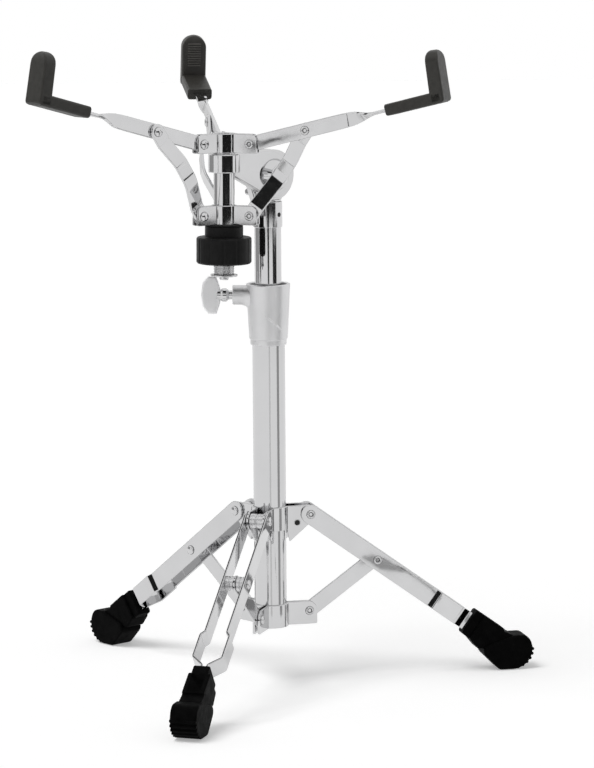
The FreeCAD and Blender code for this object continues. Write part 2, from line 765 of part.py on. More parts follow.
def tilter_bracket():
    # The basket's half: a plain disc joined by a web to the sleeve round the basket post
    face = -tilter_face - side_clearance
    front = face - tilter_plate
    disc = cylinder(tilter_radius, tilter_plate, Vector(0, front, tilter_height), tangent_axis)
    boss_start = Vector(0, front - tilter_boss_height, tilter_height)
    boss = cylinder(tilter_boss_radius, tilter_boss_height, boss_start, tangent_axis)
    plate = upright_plate([(0, tilter_height - tilter_radius), (0, tilter_height + tilter_radius),
                           (-bracket_offset, sleeve_top), (-bracket_offset, sleeve_bottom)], front, face)
    sleeve_foot = Vector(-bracket_offset, -bracket_side, sleeve_bottom)
    sleeve = cylinder(sleeve_radius, sleeve_top - sleeve_bottom, sleeve_foot)
    swing_start = Vector(0, face, tilter_height)
    swing = cylinder(tilter_radius + side_clearance, tilter_radius, swing_start, tangent_axis)
    bracket = disc.fuse([plate, boss, sleeve]).cut(swing).removeSplitter()
    post_way = cylinder(post_radius, post_top, Vector(-bracket_offset, -bracket_side, 0))
    bolt_way = pivot_hole(tilter_bolt_radius + pivot_clearance, 0, tilter_height, 2 * tilter_radius)
    bracket = bracket.cut(post_way.fuse(bolt_way))
    bracket.rotate(tilt_centre, tangent_axis, basket_tilt_angle)
    return tilter_frame(bracket)


def tilter_bolt():
    head_face = -tilter_face - side_clearance - tilter_plate - tilter_boss_height
    tail = tilter_plate - tilter_face + tilter_nut_length
    start = head_face - tilter_head_height
    centre = Vector(0, start, tilter_height)
    shank = cylinder(tilter_bolt_radius, tail - start, centre, tangent_axis)
    head = cylinder(tilter_head_radius, tilter_head_height - side_clearance, centre, tangent_axis)
    rim = [edge for edge in head.Edges if abs(edge.CenterOfMass.y - start) < tilter_head_height / 4]
    head = head.makeFillet(tilter_head_height / 2, rim)
    return tilter_frame(shank.fuse(head).removeSplitter())


def tilter_wing_nut():
    seat = tilter_plate - tilter_face + side_clearance
    length = tilter_nut_length - side_clearance
    hub = cylinder(tilter_nut_radius, length, Vector(0, seat, tilter_height), tangent_axis)
    half = tilter_wing_thickness / 2
    reach = seat + length
    root = seat + tilter_wing_thickness
    outline = [(-tilter_nut_radius, root), (tilter_nut_radius, root),
               (tilter_wing_half_span, reach), (tilter_wing_half_span, reach + tilter_wing_length),
               (tilter_nut_radius, reach), (-tilter_nut_radius, reach),
               (-tilter_wing_half_span, reach + tilter_wing_length), (-tilter_wing_half_span, reach)]
    corners = [Vector(-half, y, x + tilter_height) for x, y in outline]
    wings = Part.Face(Part.makePolygon(corners + [corners[0]])).extrude(Vector(2 * half, 0, 0))
    nut = hub.fuse(wings).removeSplitter()
    bolt_way = pivot_hole(tilter_bolt_radius + pivot_clearance, 0, tilter_height, 2 * tilter_radius)
    return tilter_frame(nut.cut(bolt_way))


# Basket
def on_basket(shape):
    copy = moved(shape, basket_x, basket_y, 0)
    copy.rotate(tilt_centre, tilt_axis, basket_tilt_angle)
    return copy


def basket_post():
    post = ring(post_radius, post_radius - post_wall, post_bottom, post_top - post_bottom)
    groove_height = thread_pitch / 2
    grooves = []
    for index in range(thread_count):
        bottom = post_bottom + groove_height / 2 + index * thread_pitch
        grooves.append(ring(post_radius + overrun, post_radius - thread_depth, bottom, groove_height))
    end_block = cylinder(post_radius - post_wall, end_screw_length, Vector(0, 0, post_bottom))
    screw_way = cylinder(end_screw_radius, end_screw_length, Vector(0, 0, post_bottom - overrun))
    post = post.cut(grooves).fuse(end_block).cut(screw_way).removeSplitter()
    return on_basket(post)


def hub_flange(pivot_height, hole_radius):
    def flange(low, high):
        inner = post_radius
        outer = hub_pivot_radius + hub_reach
        top = pivot_height + hub_rise
        bottom = pivot_height - hub_drop
        plate = upright_plate([(inner, top), (outer, top), (outer, bottom), (inner, bottom)], low, high)
        corner = [edge for edge in plate.Edges
                  if abs(edge.CenterOfMass.x - outer) + abs(edge.CenterOfMass.z - top) < hub_sheet / 2]
        plate = plate.makeFillet(hub_corner_radius, corner)
        return plate.cut(pivot_hole(hole_radius, hub_pivot_radius, pivot_height, hub_sheet + overrun))

    return flange


def hub_plates(pivot_height, bore, gap):
    bottom = pivot_height - hub_drop
    height = hub_rise + hub_drop
    flange = hub_flange(pivot_height, rivet_radius)
    plates = stamped_collar(arm_angles, bore, hub_sheet, gap, bottom, height, flange)
    way = cylinder(bore, height + 2 * overrun, Vector(0, 0, bottom - overrun))
    return on_basket(Part.makeCompound([plate.cut(way) for plate in plates]))


def hub_rivets(pivot_height, gap):
    pin = rivet(gap + hub_sheet)
    pins = [swung(pin, 0, hub_pivot_radius, pivot_height, azimuth) for azimuth in arm_angles.values()]
    return on_basket(Part.makeCompound(pins))


def arm(azimuth):
    half = arm_sheet / 2
    blade = eye_strip(arm_twist_start, arm_width, -half, half)
    blade = blade.cut(box(Vector(arm_twist_start, -arm_width, -arm_width),
                          Vector(arm_twist_end, arm_width, arm_width)))
    sections = []
    for step in range(arm_twist_steps + 1):
        share = step / arm_twist_steps
        x = arm_twist_start + share * (arm_twist_end - arm_twist_start)
        signs = ((1, 1), (-1, 1), (-1, -1), (1, -1))
        corners = [Vector(x, sy * half, sz * arm_width / 2) for sy, sz in signs]
        section = Part.makePolygon(corners + [corners[0]])
        section.rotate(Vector(x, 0, 0), Vector(1, 0, 0), 90 * share)
        sections.append(section)
    twist = Part.makeLoft(sections, True, True)
    flat = box(Vector(arm_twist_end, -arm_width / 2, -half), Vector(arm_end, arm_width / 2, half))
    upturn = tip_frame(box(Vector(arm_end - arm_sheet - tip_back, -arm_width / 2, -half),
                           Vector(arm_end - tip_back, arm_width / 2, tip_leg_height * blade_height_share)))
    blade = blade.fuse([twist, flat, upturn]).removeSplitter()
    for x in (0, arm_mid_span):
        radius = rivet_radius + pivot_clearance if x == 0 else rivet_radius
        blade = blade.cut(pivot_hole(radius, x, 0, arm_width))
    return on_basket(swung(blade, -arm_slope_angle, hub_pivot_radius, top_pivot_height, azimuth))


def tip_frame(shape):
    # The upright leg of the tip leans back from square to the arm
    copy = shape.copy()
    copy.rotate(origin, tangent_axis, tip_lean_angle)
    copy.translate(Vector(tip_back, 0, 0))
    return copy


def tip(azimuth):
    # A rubber L over the end of the arm, its upright rounded over at the top
    half = tip_thickness / 2
    end_half = tip_end_thickness / 2
    width_half = tip_width / 2
    sole = upright_plate([(tip_start, -end_half), (tip_back, -half), (tip_back, half), (tip_start, end_half)],
                         -width_half, width_half)
    sole_edges = [edge for edge in sole.Edges if edge.Length > tip_back - tip_start - tip_round]
    sole = sole.makeFillet(tip_round, sole_edges)
    front = -tip_leg_thickness
    upright = upright_plate([(front, -half), (0, -half), (front + tip_top_thickness, tip_leg_height),
                             (front, tip_leg_height)], -width_half, width_half)
    corners = [edge for edge in upright.Edges
               if edge.BoundBox.YLength < tip_round and edge.CenterOfMass.z > tip_leg_height - tip_round]
    upright = upright.makeFillet(tip_top_round, corners)
    rims = [edge for edge in upright.Edges
            if edge.BoundBox.YLength + edge.BoundBox.ZLength > tip_round and edge.CenterOfMass.z > 0]
    upright = upright.makeFillet(tip_round, rims)
    body = sole.fuse(tip_frame(upright)).removeSplitter()
    body = on_basket(swung(body, -arm_slope_angle, hub_pivot_radius, top_pivot_height, azimuth))
    return body.cut(arm(azimuth))


def mid_rivet(azimuth):
    near = arm_sheet / 2
    far = link_offset + link_sheet / 2
    pin = moved(rivet((near + far) / 2), arm_mid_span, (far - near) / 2, 0)
    return on_basket(swung(pin, -arm_slope_angle, hub_pivot_radius, top_pivot_height, azimuth))


def link(azimuth):
    # A strip beside the arm at its upper end, bowed outwards and back to lie between the lower hub's ears
    half = link_width / 2
    path = [(-half, link_offset), (link_bow_start, link_offset), (link_bow_full, link_bow_offset),
            (link_bow_end, link_bow_offset), (basket_link_span - link_seat_length, 0),
            (basket_link_span + half, 0)]
    strip = bent_strip(path, link_sheet, link_width)
    reach = link_bow_offset + link_sheet + overrun
    strip = strip.common(eye_strip(basket_link_span, link_width, -reach, reach))
    strip = strip.cut(pivot_hole(rivet_radius + pivot_clearance, 0, 0, reach))
    hole_x = basket_link_span - link_hole_shift_along
    strip = strip.cut(pivot_hole(rivet_radius + link_hole_clearance, hole_x, link_hole_shift_across, reach))
    return on_basket(swung(strip, link_turn, mid_pivot_radius, mid_pivot_height, azimuth))


def nut_washer():
    return on_basket(ring(nut_neck_radius, post_radius + slide_clearance, nut_top, nut_washer_height))


def basket_nut():
    neck = cylinder(nut_neck_radius, nut_neck_height - side_clearance, Vector(0, 0, nut_neck_bottom))
    grip = cylinder(nut_radius, nut_height, Vector(0, 0, nut_bottom))
    rims = [edge for edge in grip.Edges
            if edge.BoundBox.ZLength < nut_chamfer and edge.BoundBox.XLength > nut_radius]
    grip = grip.makeChamfer(nut_chamfer, rims)
    flutes = []
    for index in range(nut_flute_count):
        flute = cylinder(nut_flute_radius, nut_height + 2 * overrun,
                         Vector(nut_radius, 0, nut_bottom - overrun))
        flutes.append(turned(flute, 360 * index / nut_flute_count))
    bore = cylinder(post_radius + nut_bore_clearance, nut_height + nut_neck_height + 2 * overrun,
                    Vector(0, 0, nut_bottom - overrun))
    return on_basket(grip.cut(flutes).fuse(neck).cut(bore).removeSplitter())


def end_washer():
    bottom = post_bottom - end_washer_height
    return on_basket(ring(end_washer_radius, end_screw_radius, bottom, end_washer_height))


def end_screw():
    seat = post_bottom - end_washer_height
    bottom = Vector(0, 0, seat - end_screw_head_height)
    head = cylinder(end_screw_head_radius, end_screw_head_height, bottom)
    shank = cylinder(end_screw_radius, end_screw_length - overrun + end_washer_height, Vector(0, 0, seat))
    socket = cylinder(end_screw_head_radius / 2, end_screw_head_height / 2, bottom)
    return on_basket(head.fuse(shank).cut(socket).removeSplitter())


# Every piece under its node's name
nodes = {
    "lower_tube": lower_tube(),
    "tube_plug": tube_plug(),
    "brace_collar": brace_collar(),
    "brace_collar_rivets": brace_collar_rivets(),
    "height_clamp": height_clamp(),
    "clamp_bush": clamp_bush(),
    "clamp_wing_screw": clamp_wing_screw(),
    "leg_collar": leg_collar(),
    "collar_lock_block": collar_lock_block(),
    "collar_wing_screw": collar_wing_screw(),
    "height_glide": height_glide(),
    "upper_tube": upper_tube(),
    "tube_cap": tube_cap(),
    "cap_screw": cap_screw(),
    "tilter_post": tilter_post(),
    "tilter_bolt": tilter_bolt(),
    "tilter_wing_nut": tilter_wing_nut(),
    "tilter_bracket": tilter_bracket(),
    "basket_post": basket_post(),
    "top_hub": hub_plates(top_pivot_height, post_radius, arm_gap),
    "top_hub_rivets": hub_rivets(top_pivot_height, arm_gap),
    "end_washer": end_washer(),
    "end_screw": end_screw(),
    "lower_hub": hub_plates(low_pivot_height, post_radius + slide_clearance, link_gap),
    "lower_hub_rivets": hub_rivets(low_pivot_height, link_gap),
    "nut_washer": nut_washer(),
    "basket_nut": basket_nut(),
}
for name, azimuth in leg_angles.items():
    nodes[name + "_brace"] = brace(azimuth)
    nodes[name + "_leg_strip_a"] = on_leg(leg_strip(1), azimuth)
    nodes[name + "_leg_strip_b"] = on_leg(leg_strip(-1), azimuth)
    nodes[name + "_leg_rivets"] = leg_rivets(azimuth)
    nodes[name + "_leg_spacers"] = leg_spacers(azimuth)
    nodes[name + "_foot"] = foot(azimuth)
for name, azimuth in arm_angles.items():
    nodes[name + "_arm"] = arm(azimuth)
    nodes[name + "_arm_rivet"] = mid_rivet(azimuth)
    nodes[name + "_tip"] = tip(azimuth)
    nodes[name + "_link"] = link(azimuth)

os.makedirs("parts", exist_ok=True)
for name, shape in nodes.items():
    shape.exportStep("parts/" + name + ".step")
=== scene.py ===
from math import asin, atan2, cos, degrees, exp, hypot, pi, radians, sin, sqrt, tan

import bmesh
import bpy
from mathutils import Matrix, Vector


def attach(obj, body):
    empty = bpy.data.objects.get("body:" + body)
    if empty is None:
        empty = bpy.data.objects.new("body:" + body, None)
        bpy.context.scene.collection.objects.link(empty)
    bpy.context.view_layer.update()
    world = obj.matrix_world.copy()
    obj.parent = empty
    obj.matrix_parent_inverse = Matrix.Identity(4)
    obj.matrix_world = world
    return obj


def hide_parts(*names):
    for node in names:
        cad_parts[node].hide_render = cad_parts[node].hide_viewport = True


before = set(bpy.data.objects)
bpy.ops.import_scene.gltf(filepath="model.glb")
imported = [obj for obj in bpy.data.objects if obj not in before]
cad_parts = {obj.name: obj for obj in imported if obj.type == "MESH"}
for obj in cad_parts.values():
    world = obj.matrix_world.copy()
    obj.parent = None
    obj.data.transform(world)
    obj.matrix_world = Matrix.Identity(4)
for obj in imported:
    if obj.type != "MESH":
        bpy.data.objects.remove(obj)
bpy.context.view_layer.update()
bpy.context.scene.view_settings.view_transform = "Standard"

# Driving sizes in millimetres and degrees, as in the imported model
MM = 0.001
LEGS = {"right": 12.0, "left": 132.0, "front": 252.0}
ARMS = {"right": 339.0, "back": 99.0, "left": 219.0}
TUBE_RADIUS = 14.3
TUBE_BORE = 12.7
TUBE_BOTTOM = 51.9
TUBE_TOP = 349.0
UPPER_RADIUS = 11.75
UPPER_BORE = 10.25
UPPER_BOTTOM = 176.0
UPPER_TOP = 426.0
PIVOT_RADIUS = 34.8
LOW_PIVOT = 62.3
SPAN = 75.2
SPREAD = 54.0
STRIP_WIDTH = 17.2
STRIP_SHEET = 2.0
STRIP_OFFSET = 9.75
BRACE_WIDTH = 14.6
TILT_AZIMUTH = 40.0
TILT_HEIGHT = 453.0
TILT_RADIUS = 22.3
TILT = 0.8
BRACKET_REACH = 54.0
BRACKET_SIDE = 6.3
POST_RADIUS = 9.0
HUB_RADIUS = 24.6
TOP_HUB = 483.2
LOW_HUB = 421.1
ARM_SLOPE = 14.6
ARM_MIDDLE = 51.8
TIP_START = 130.0
TIP_BACK = 183.5

# Places that follow from them
TILT_COS = cos(radians(TILT_AZIMUTH))
TILT_SIN = sin(radians(TILT_AZIMUTH))
LEG_RUN = sin(radians(SPREAD))
LEG_FALL = cos(radians(SPREAD))
LEG_DROP = 90.0 - SPREAD
UP_PIVOT = LOW_PIVOT + 2 * SPAN * LEG_FALL
BASKET_X = -BRACKET_REACH * TILT_COS + BRACKET_SIDE * TILT_SIN
BASKET_Y = -BRACKET_REACH * TILT_SIN - BRACKET_SIDE * TILT_COS
MIDDLE_RADIUS = HUB_RADIUS + ARM_MIDDLE * cos(radians(ARM_SLOPE))
MIDDLE_HEIGHT = TOP_HUB + ARM_MIDDLE * sin(radians(ARM_SLOPE))
LINK_SPAN = hypot(MIDDLE_RADIUS - HUB_RADIUS, MIDDLE_HEIGHT - LOW_HUB)
LINK_TURN = degrees(atan2(MIDDLE_HEIGHT - LOW_HUB, HUB_RADIUS - MIDDLE_RADIUS))

ALONG_Y = Matrix.Rotation(radians(-90), 4, "X")
ALONG_X = Matrix.Rotation(radians(90), 4, "Y")


def shift(x=0.0, y=0.0, z=0.0):
    return Matrix.Translation((x, y, z))


def spin(azimuth):
    return Matrix.Rotation(radians(azimuth), 4, "Z")


def dip(angle):
    return Matrix.Rotation(radians(angle), 4, "Y")


def pivot(azimuth, radius, height, drop=0.0):
    return spin(azimuth) @ shift(radius, 0, height) @ dip(drop)


TILTER = spin(TILT_AZIMUTH) @ shift(z=TILT_HEIGHT)
TILTED = TILTER @ dip(TILT)
BASKET = TILTED @ TILTER.inverted() @ shift(BASKET_X, BASKET_Y)


def on_leg(azimuth):
    return pivot(azimuth, PIVOT_RADIUS, UP_PIVOT, LEG_DROP)


def on_arm(azimuth):
    return BASKET @ pivot(azimuth, HUB_RADIUS, TOP_HUB, -ARM_SLOPE)


# Mesh building: every shape is a list of points and a list of faces, in millimetres
STRAIGHT = pi - 0.002
SIDE_SHARE = 0.49
ROUND_SHARE = 0.499
MITRE_SHARE = 0.5
AXIS_RADIUS = 0.001
THINNEST = 0.06
SHORTEST = 1e-7


def turns(count):
    return [2 * pi * k / count for k in range(count)]


def quarter_turns(count):
    return [radians(90 * k / count) for k in range(1, count + 1)]


def polar(radius, angle, *height):
    return (radius * cos(angle), radius * sin(angle), *height)


def eased(share):
    # From 0 to 1 with a soft start and a soft end
    share = min(max(share, 0.0), 1.0)
    return share * share * (3 - 2 * share)


def place(shape, matrix):
    points, faces = shape
    return [matrix @ Vector(p) for p in points], faces


def join(*shapes):
    points, faces = [], []
    for some, rest in shapes:
        start = len(points)
        points += some
        faces += [[i + start for i in face] for face in rest]
    return points, faces


def fillet(points, radius, steps=4, closed=True):
    # Rounds the corners of an outline or a path, by one radius or by a list of them
    out = []
    count = len(points)
    for i, raw in enumerate(points):
        p = Vector(raw)
        r = radius[i] if isinstance(radius, list) else radius
        a = Vector(points[i - 1]) - p
        b = Vector(points[(i + 1) % count]) - p
        if r <= 0 or (not closed and i in (0, count - 1)) or a.angle(b) > STRAIGHT:
            out.append((p.x, p.y))
            continue
        half = a.angle(b) / 2
        reach = min(r / tan(half), SIDE_SHARE * a.length, SIDE_SHARE * b.length)
        r = reach * tan(half)
        a.normalize()
        b.normalize()
        centre = p + (a + b).normalized() * (r / sin(half))
        first = p + a * reach - centre
        last = p + b * reach - centre
        start = atan2(first.y, first.x)
        turn = atan2(last.y, last.x) - start
        turn = (turn + pi) % (2 * pi) - pi
        for k in range(steps + 1):
            t = start + turn * k / steps
            out.append((centre.x + r * cos(t), centre.y + r * sin(t)))
    return out


def loft(rings, caps=True):
    points, faces = [], []
    size = len(rings[0])
    for ring in rings:
        points += [Vector(p) for p in ring]
    for i in range(len(rings) - 1):
        for j in range(size):
            k = (j + 1) % size
            faces.append([i * size + j, i * size + k, (i + 1) * size + k, (i + 1) * size + j])
    if caps:
        faces.append(list(range(size))[::-1])
        faces.append([(len(rings) - 1) * size + j for j in range(size)])
    return points, faces


def lathe(profile, segments, ring=False):
    # A profile of (radius, height) points turned about Z; a ring's profile closes on itself
    rings = []
    for radius, z in profile:
        r = max(radius, AXIS_RADIUS)
        rings.append([polar(r, t, z) for t in turns(segments)])
    if ring:
        return loft(rings + rings[:1], caps=False)
    return loft(rings)


def turned(profile, edge, segments=64, ring=False, steps=3):
    radius = edge if ring else [0] + [edge] * (len(profile) - 2) + [0]
    return lathe(fillet(profile, radius, steps, ring), segments, ring)


def pipe(outer, bore, bottom, top, edge, segments=96, steps=3):
    profile = [(bore, bottom), (outer, bottom), (outer, top), (bore, top)]
    return turned(profile, edge, segments, ring=True, steps=steps)


def rod(radius, bottom, top, edge, segments=64, steps=3):
    return turned([(0, bottom), (radius, bottom), (radius, top), (0, top)], edge, segments, steps=steps)


def box_ring(low_n, high_n, low_w, high_w, radius, steps=3):
    # A rounded rectangle in (thickness, width), counter-clockwise
    r = min(radius, (high_n - low_n) * ROUND_SHARE, (high_w - low_w) * ROUND_SHARE)
    out = []
    for cn, cw, start in ((high_n - r, high_w - r, 0), (low_n + r, high_w - r, 90),
                          (low_n + r, low_w + r, 180), (high_n - r, low_w + r, 270)):
        for k in range(steps + 1):
            t = radians(start + 90 * k / steps)
            out.append((cn + r * cos(t), cw + r * sin(t)))
    return out


def resample(path, step):
    out = [Vector(path[0])]
    for a, b in zip(path, path[1:]):
        a, b = Vector(a), Vector(b)
        count = max(1, int((b - a).length / step))
        out += [a.lerp(b, (k + 1) / count) for k in range(count)]
    return out


def strip(path, low, high, sheet_metal, edge, step=1.6, twist=None):
    # Sheet metal along a path in (x, y); low and high give its rims from the run so far and the whole run
    points = resample(path, step)
    runs = [0.0]
    for a, b in zip(points, points[1:]):
        runs.append(runs[-1] + (b - a).length)
    half = sheet_metal / 2
    rings = []
    for i, p in enumerate(points):
        before, after = points[max(i - 1, 0)], points[min(i + 1, len(points) - 1)]
        along = (after - before).normalized()
        normal = Vector((-along.y, along.x, 0))
        up = Vector((0, 0, 1))
        if twist:
            turn = Matrix.Rotation(twist(runs[i]), 3, Vector((along.x, along.y, 0)))
            normal, up = turn @ normal, turn @ up
        bottom, top = low(runs[i], runs[-1]), high(runs[i], runs[-1])
        if top - bottom < THINNEST:
            middle = (top + bottom) / 2
            bottom, top = middle - THINNEST / 2, middle + THINNEST / 2
        base = Vector((p.x, p.y, 0))
        rings.append([base + normal * n + up * w for n, w in box_ring(-half, half, bottom, top, edge)])
    return loft(rings)


def round_end(distance, half):
    # Half width of a strip with a round end, at a distance from that end
    if distance >= half:
        return half
    return half * sqrt(max(1 - ((half - distance) / half) ** 2, 0))


def eye(width):
    # Rims of a strip with both ends round
    def top(run, total):
        return round_end(min(run, total - run), width / 2)

    return (lambda run, total: -top(run, total)), top


def inset(outline, amount):
    count = len(outline)
    area = sum(outline[i - 1][0] * outline[i][1] - outline[i][0] * outline[i - 1][1] for i in range(count))
    inward = amount if area > 0 else -amount
    out = []
    for i in range(count):
        a, p, b = Vector(outline[i - 1]), Vector(outline[i]), Vector(outline[(i + 1) % count])
        before, after = p - a, b - p
        first = Vector((-before.y, before.x)).normalized()
        second = Vector((-after.y, after.x)).normalized()
        middle = (first + second).normalized()
        out.append(tuple(p + middle * inward / max(middle.dot(first), MITRE_SHARE)))
    return out


def slab(outline, low, high, edge, steps=3):
    # An outline of (x, z) points as a plate from one y to another, with rounded rims
    rings = []
    for side in (0, 1):
        for k in range(steps + 1):
            angle = radians(90 * (k if side == 0 else steps - k) / steps)
            depth = edge * (1 - cos(angle))
            y = low + depth if side == 0 else high - depth
            rings.append([(x, y, z) for x, z in inset(outline, edge * (1 - sin(angle)))])
    return loft(rings)


def put(name, data):
    made = bpy.data.objects.new(name, data)
    bpy.context.scene.collection.objects.link(made)
    return made


def piece(name, shape, material, body, replaces=(), sharp=50.0):
    points, faces = shape
    mesh = bpy.data.meshes.new(name)
    mesh.from_pydata([Vector(p) * MM for p in points], [], faces)
    work = bmesh.new()
    work.from_mesh(mesh)
    bmesh.ops.remove_doubles(work, verts=work.verts, dist=SHORTEST)
    bmesh.ops.triangulate(work, faces=[f for f in work.faces if len(f.verts) > 4])
    bmesh.ops.recalc_face_normals(work, faces=work.faces)
    for face in work.faces:
        face.smooth = True
    work.to_mesh(mesh)
    work.free()
    mesh.set_sharp_from_angle(angle=radians(sharp))
    mesh.materials.append(material)
    made = put(name, mesh)
    made.modifiers.new("even_normals", "WEIGHTED_NORMAL").keep_sharp = True
    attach(made, body)
    if replaces:
        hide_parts(*replaces)


# Materials: colours and roughness wander between two values, and fine bumps break the surface
NOISE_LOW = 0.3
NOISE_HIGH = 0.7
NOISE_DETAIL = 3.0
BUMP_DETAIL = 2.0
COOL_SHARE = 1.01


def feed(tree, node, inputs):
    # Each input takes a value, a socket or another node's first output
    for name, given in inputs.items():
        if isinstance(given, bpy.types.Node):
            given = given.outputs[0]
        if isinstance(given, bpy.types.NodeSocket):
            tree.links.new(given, node.inputs[name])
        else:
            node.inputs[name].default_value = given


def add(tree, kind, inputs):
    node = tree.nodes.new("ShaderNode" + kind)
    feed(tree, node, inputs)
    return node


def material(name, colours, rough, grain, bump, metallic=0.0, specular=0.5):
    # The grain is the scale of the noise in colour and roughness; a bump has its scale, strength and depth
    made = bpy.data.materials.new(name)
    made.use_nodes = True
    tree = made.node_tree
    spot = tree.nodes.new("ShaderNodeTexCoord").outputs["Object"]

    def noise(scale, detail=NOISE_DETAIL):
        return add(tree, "TexNoise", {"Scale": scale, "Detail": detail, "Vector": spot})

    ramp = add(tree, "ValToRGB", {"Fac": noise(grain[0])})
    for stop, position, colour in zip(ramp.color_ramp.elements, (NOISE_LOW, NOISE_HIGH), colours):
        stop.position = position
        stop.color = (*colour, 1)
    span = add(tree, "MapRange", {"Value": noise(grain[1]), "From Min": NOISE_LOW, "From Max": NOISE_HIGH,
                                  "To Min": rough[0], "To Max": rough[1]})
    scale, strength, depth = bump
    relief = add(tree, "Bump", {"Strength": strength, "Distance": depth, "Height": noise(scale, BUMP_DETAIL)})
    feed(tree, tree.nodes["Principled BSDF"], {"Base Color": ramp, "Metallic": metallic, "Roughness": span,
                                               "Normal": relief, "Specular IOR Level": specular})
    return made


def greys(*values):
    return [(value, value, value * COOL_SHARE) for value in values]


TIP_BLACK = [(0.019, 0.018, 0.0155), (0.029, 0.0275, 0.024)]
RIB_BLACK = [(0.060, 0.057, 0.052), (0.085, 0.081, 0.074)]
CHROME = material("chrome_plate", metallic=1.0, colours=greys(0.585, 0.625),
                  rough=(0.035, 0.075), grain=(30, 55), bump=(28, 0.12, 0.0006))
CHROME_TUBE = material("chrome_tube", metallic=1.0, colours=greys(0.59, 0.62),
                       rough=(0.04, 0.07), grain=(22, 40), bump=(14, 0.05, 0.0004))
CAST = material("cast_satin", metallic=1.0, colours=greys(0.66, 0.70),
                rough=(0.36, 0.42), grain=(40, 60), bump=(1200, 0.05, 0.0002))
WING = material("wing_satin", metallic=1.0, colours=greys(0.80, 0.85),
                rough=(0.36, 0.42), grain=(40, 60), bump=(1200, 0.05, 0.0002))
STEEL = material("plain_steel", metallic=1.0, colours=greys(0.52, 0.66),
                 rough=(0.18, 0.34), grain=(200, 260), bump=(700, 0.08, 0.0003))
RUBBER = material("tip_rubber", colours=TIP_BLACK,
                  rough=(0.40, 0.50), grain=(180, 220), bump=(1500, 0.25, 0.0003), specular=0.42)
# The ribs' rubber, a little lighter than the tip's
PALE_RIB_RUBBER = material("rib_rubber", colours=RIB_BLACK,
                rough=(0.5, 0.6), grain=(180, 220), bump=(1500, 0.2, 0.0003), specular=0.42)
FOOT = material("foot_rubber", colours=greys(0.001, 0.003),
                rough=(0.45, 0.62), grain=(150, 180), bump=(1100, 0.3, 0.0004), specular=0.025)
PLASTIC = material("nut_plastic", colours=greys(0.005, 0.009),
                   rough=(0.38, 0.52), grain=(150, 200), bump=(1300, 0.2, 0.0003), specular=0.13)
NYLON = material("grey_nylon", colours=greys(0.10, 0.14),
                 rough=(0.35, 0.5), grain=(150, 200), bump=(900, 0.12, 0.0003))
# Painted contact shade round the rivets and inside their rolled ends, in a near-black grey
RIVET_SHADE = material("painted_rivet_shade", colours=greys(0.06, 0.10),
                rough=(0.6, 0.8), grain=(200, 200), bump=(900, 0.1, 0.0002))
# Near black: painted shade in the collar's eyelet holes, and the black oxide of the cap's grub screw
DARK = material("hole_shade_and_black_oxide", colours=greys(0.004, 0.008),
                rough=(0.7, 0.9), grain=(200, 200), bump=(900, 0.1, 0.0002))

# Rivets and bushes lie along local Y; profile points are (radius, height), some counted from an end
RIVET_RADIUS = 2.6
RIVET_HEAD = 4.1
RIVET_DOME = 2.2
DOME_RIM_SHARE = 0.28
DOME_STEPS = 6
ROLLED_END = [(3.65, 0.0), (3.8, -0.5), (3.5, -1.15), (2.9, -1.4), (2.3, -1.2), (1.9, -0.5), (1.7, 0.5),
              (0.9, 0.7), (0.0, 0.5)]
# Rings of painted shade at a rivet's head and tail, and a painted dark disc in its rolled end
HEAD_SHADE_RING = [(-0.4, -0.1), (0.2, -0.1), (0.2, 0.1), (-0.4, 0.1)]
TAIL_SHADE_RING = [(3.3, 0.1), (4.0, 0.1), (4.0, -0.1), (3.3, -0.1)]
DIMPLE_SHADE = [(1.4, 0.2), (1.98, 0.2), (1.98, -0.4), (1.4, -0.1)]
BUSH_RADIUS = 6.4
BUSH_CORE = 5.5
BUSH_GROOVE = [(BUSH_RADIUS, -0.8), (BUSH_CORE, -0.5), (BUSH_CORE, 0.5), (BUSH_RADIUS, 0.8)]
RIVET_SEGMENTS = 40


def rivet(outer):
    profile = [(0.0, outer + RIVET_DOME)]
    for angle in quarter_turns(DOME_STEPS):
        rise = DOME_RIM_SHARE + (1 - DOME_RIM_SHARE) * cos(angle)
        profile.append((RIVET_HEAD * sin(angle), outer + RIVET_DOME * rise))
    profile += [(RIVET_HEAD, outer), (RIVET_RADIUS, outer), (RIVET_RADIUS, -outer)]
    profile += [(r, z - outer) for r, z in ROLLED_END]
    return place(lathe(profile, RIVET_SEGMENTS), ALONG_Y)


def rivet_painted_shade(outer):
    # Painted shade: a thin dark ring round each end of a rivet, and inside its rolled end
    rings = [[(RIVET_HEAD + r, outer + z) for r, z in HEAD_SHADE_RING]]
    rings += [[(r, z - outer) for r, z in pin_shade] for pin_shade in (TAIL_SHADE_RING, DIMPLE_SHADE)]
    return place(join(*[lathe(ring, RIVET_SEGMENTS, ring=True) for ring in rings]), ALONG_Y)


def rivets(pins, rivet_shades, outer, spots, body, node):
    shape = join(*[place(rivet(outer), spot) for spot in spots])
    piece(pins, shape, CHROME, body, [node])
    # The rivets' painted shade rings, as a piece of their own
    shape = join(*[place(rivet_painted_shade(outer), spot) for spot in spots])
    piece(rivet_shades, shape, RIVET_SHADE, body)


def bush(low, high):
    middle = (low + high) / 2
    profile = [(RIVET_RADIUS, low), (BUSH_RADIUS, low)]
    profile += [(r, middle + z) for r, z in BUSH_GROOVE]
    profile += [(BUSH_RADIUS, high), (RIVET_RADIUS, high)]
    return place(turned(profile, edge=0.35, segments=48, ring=True), ALONG_Y)


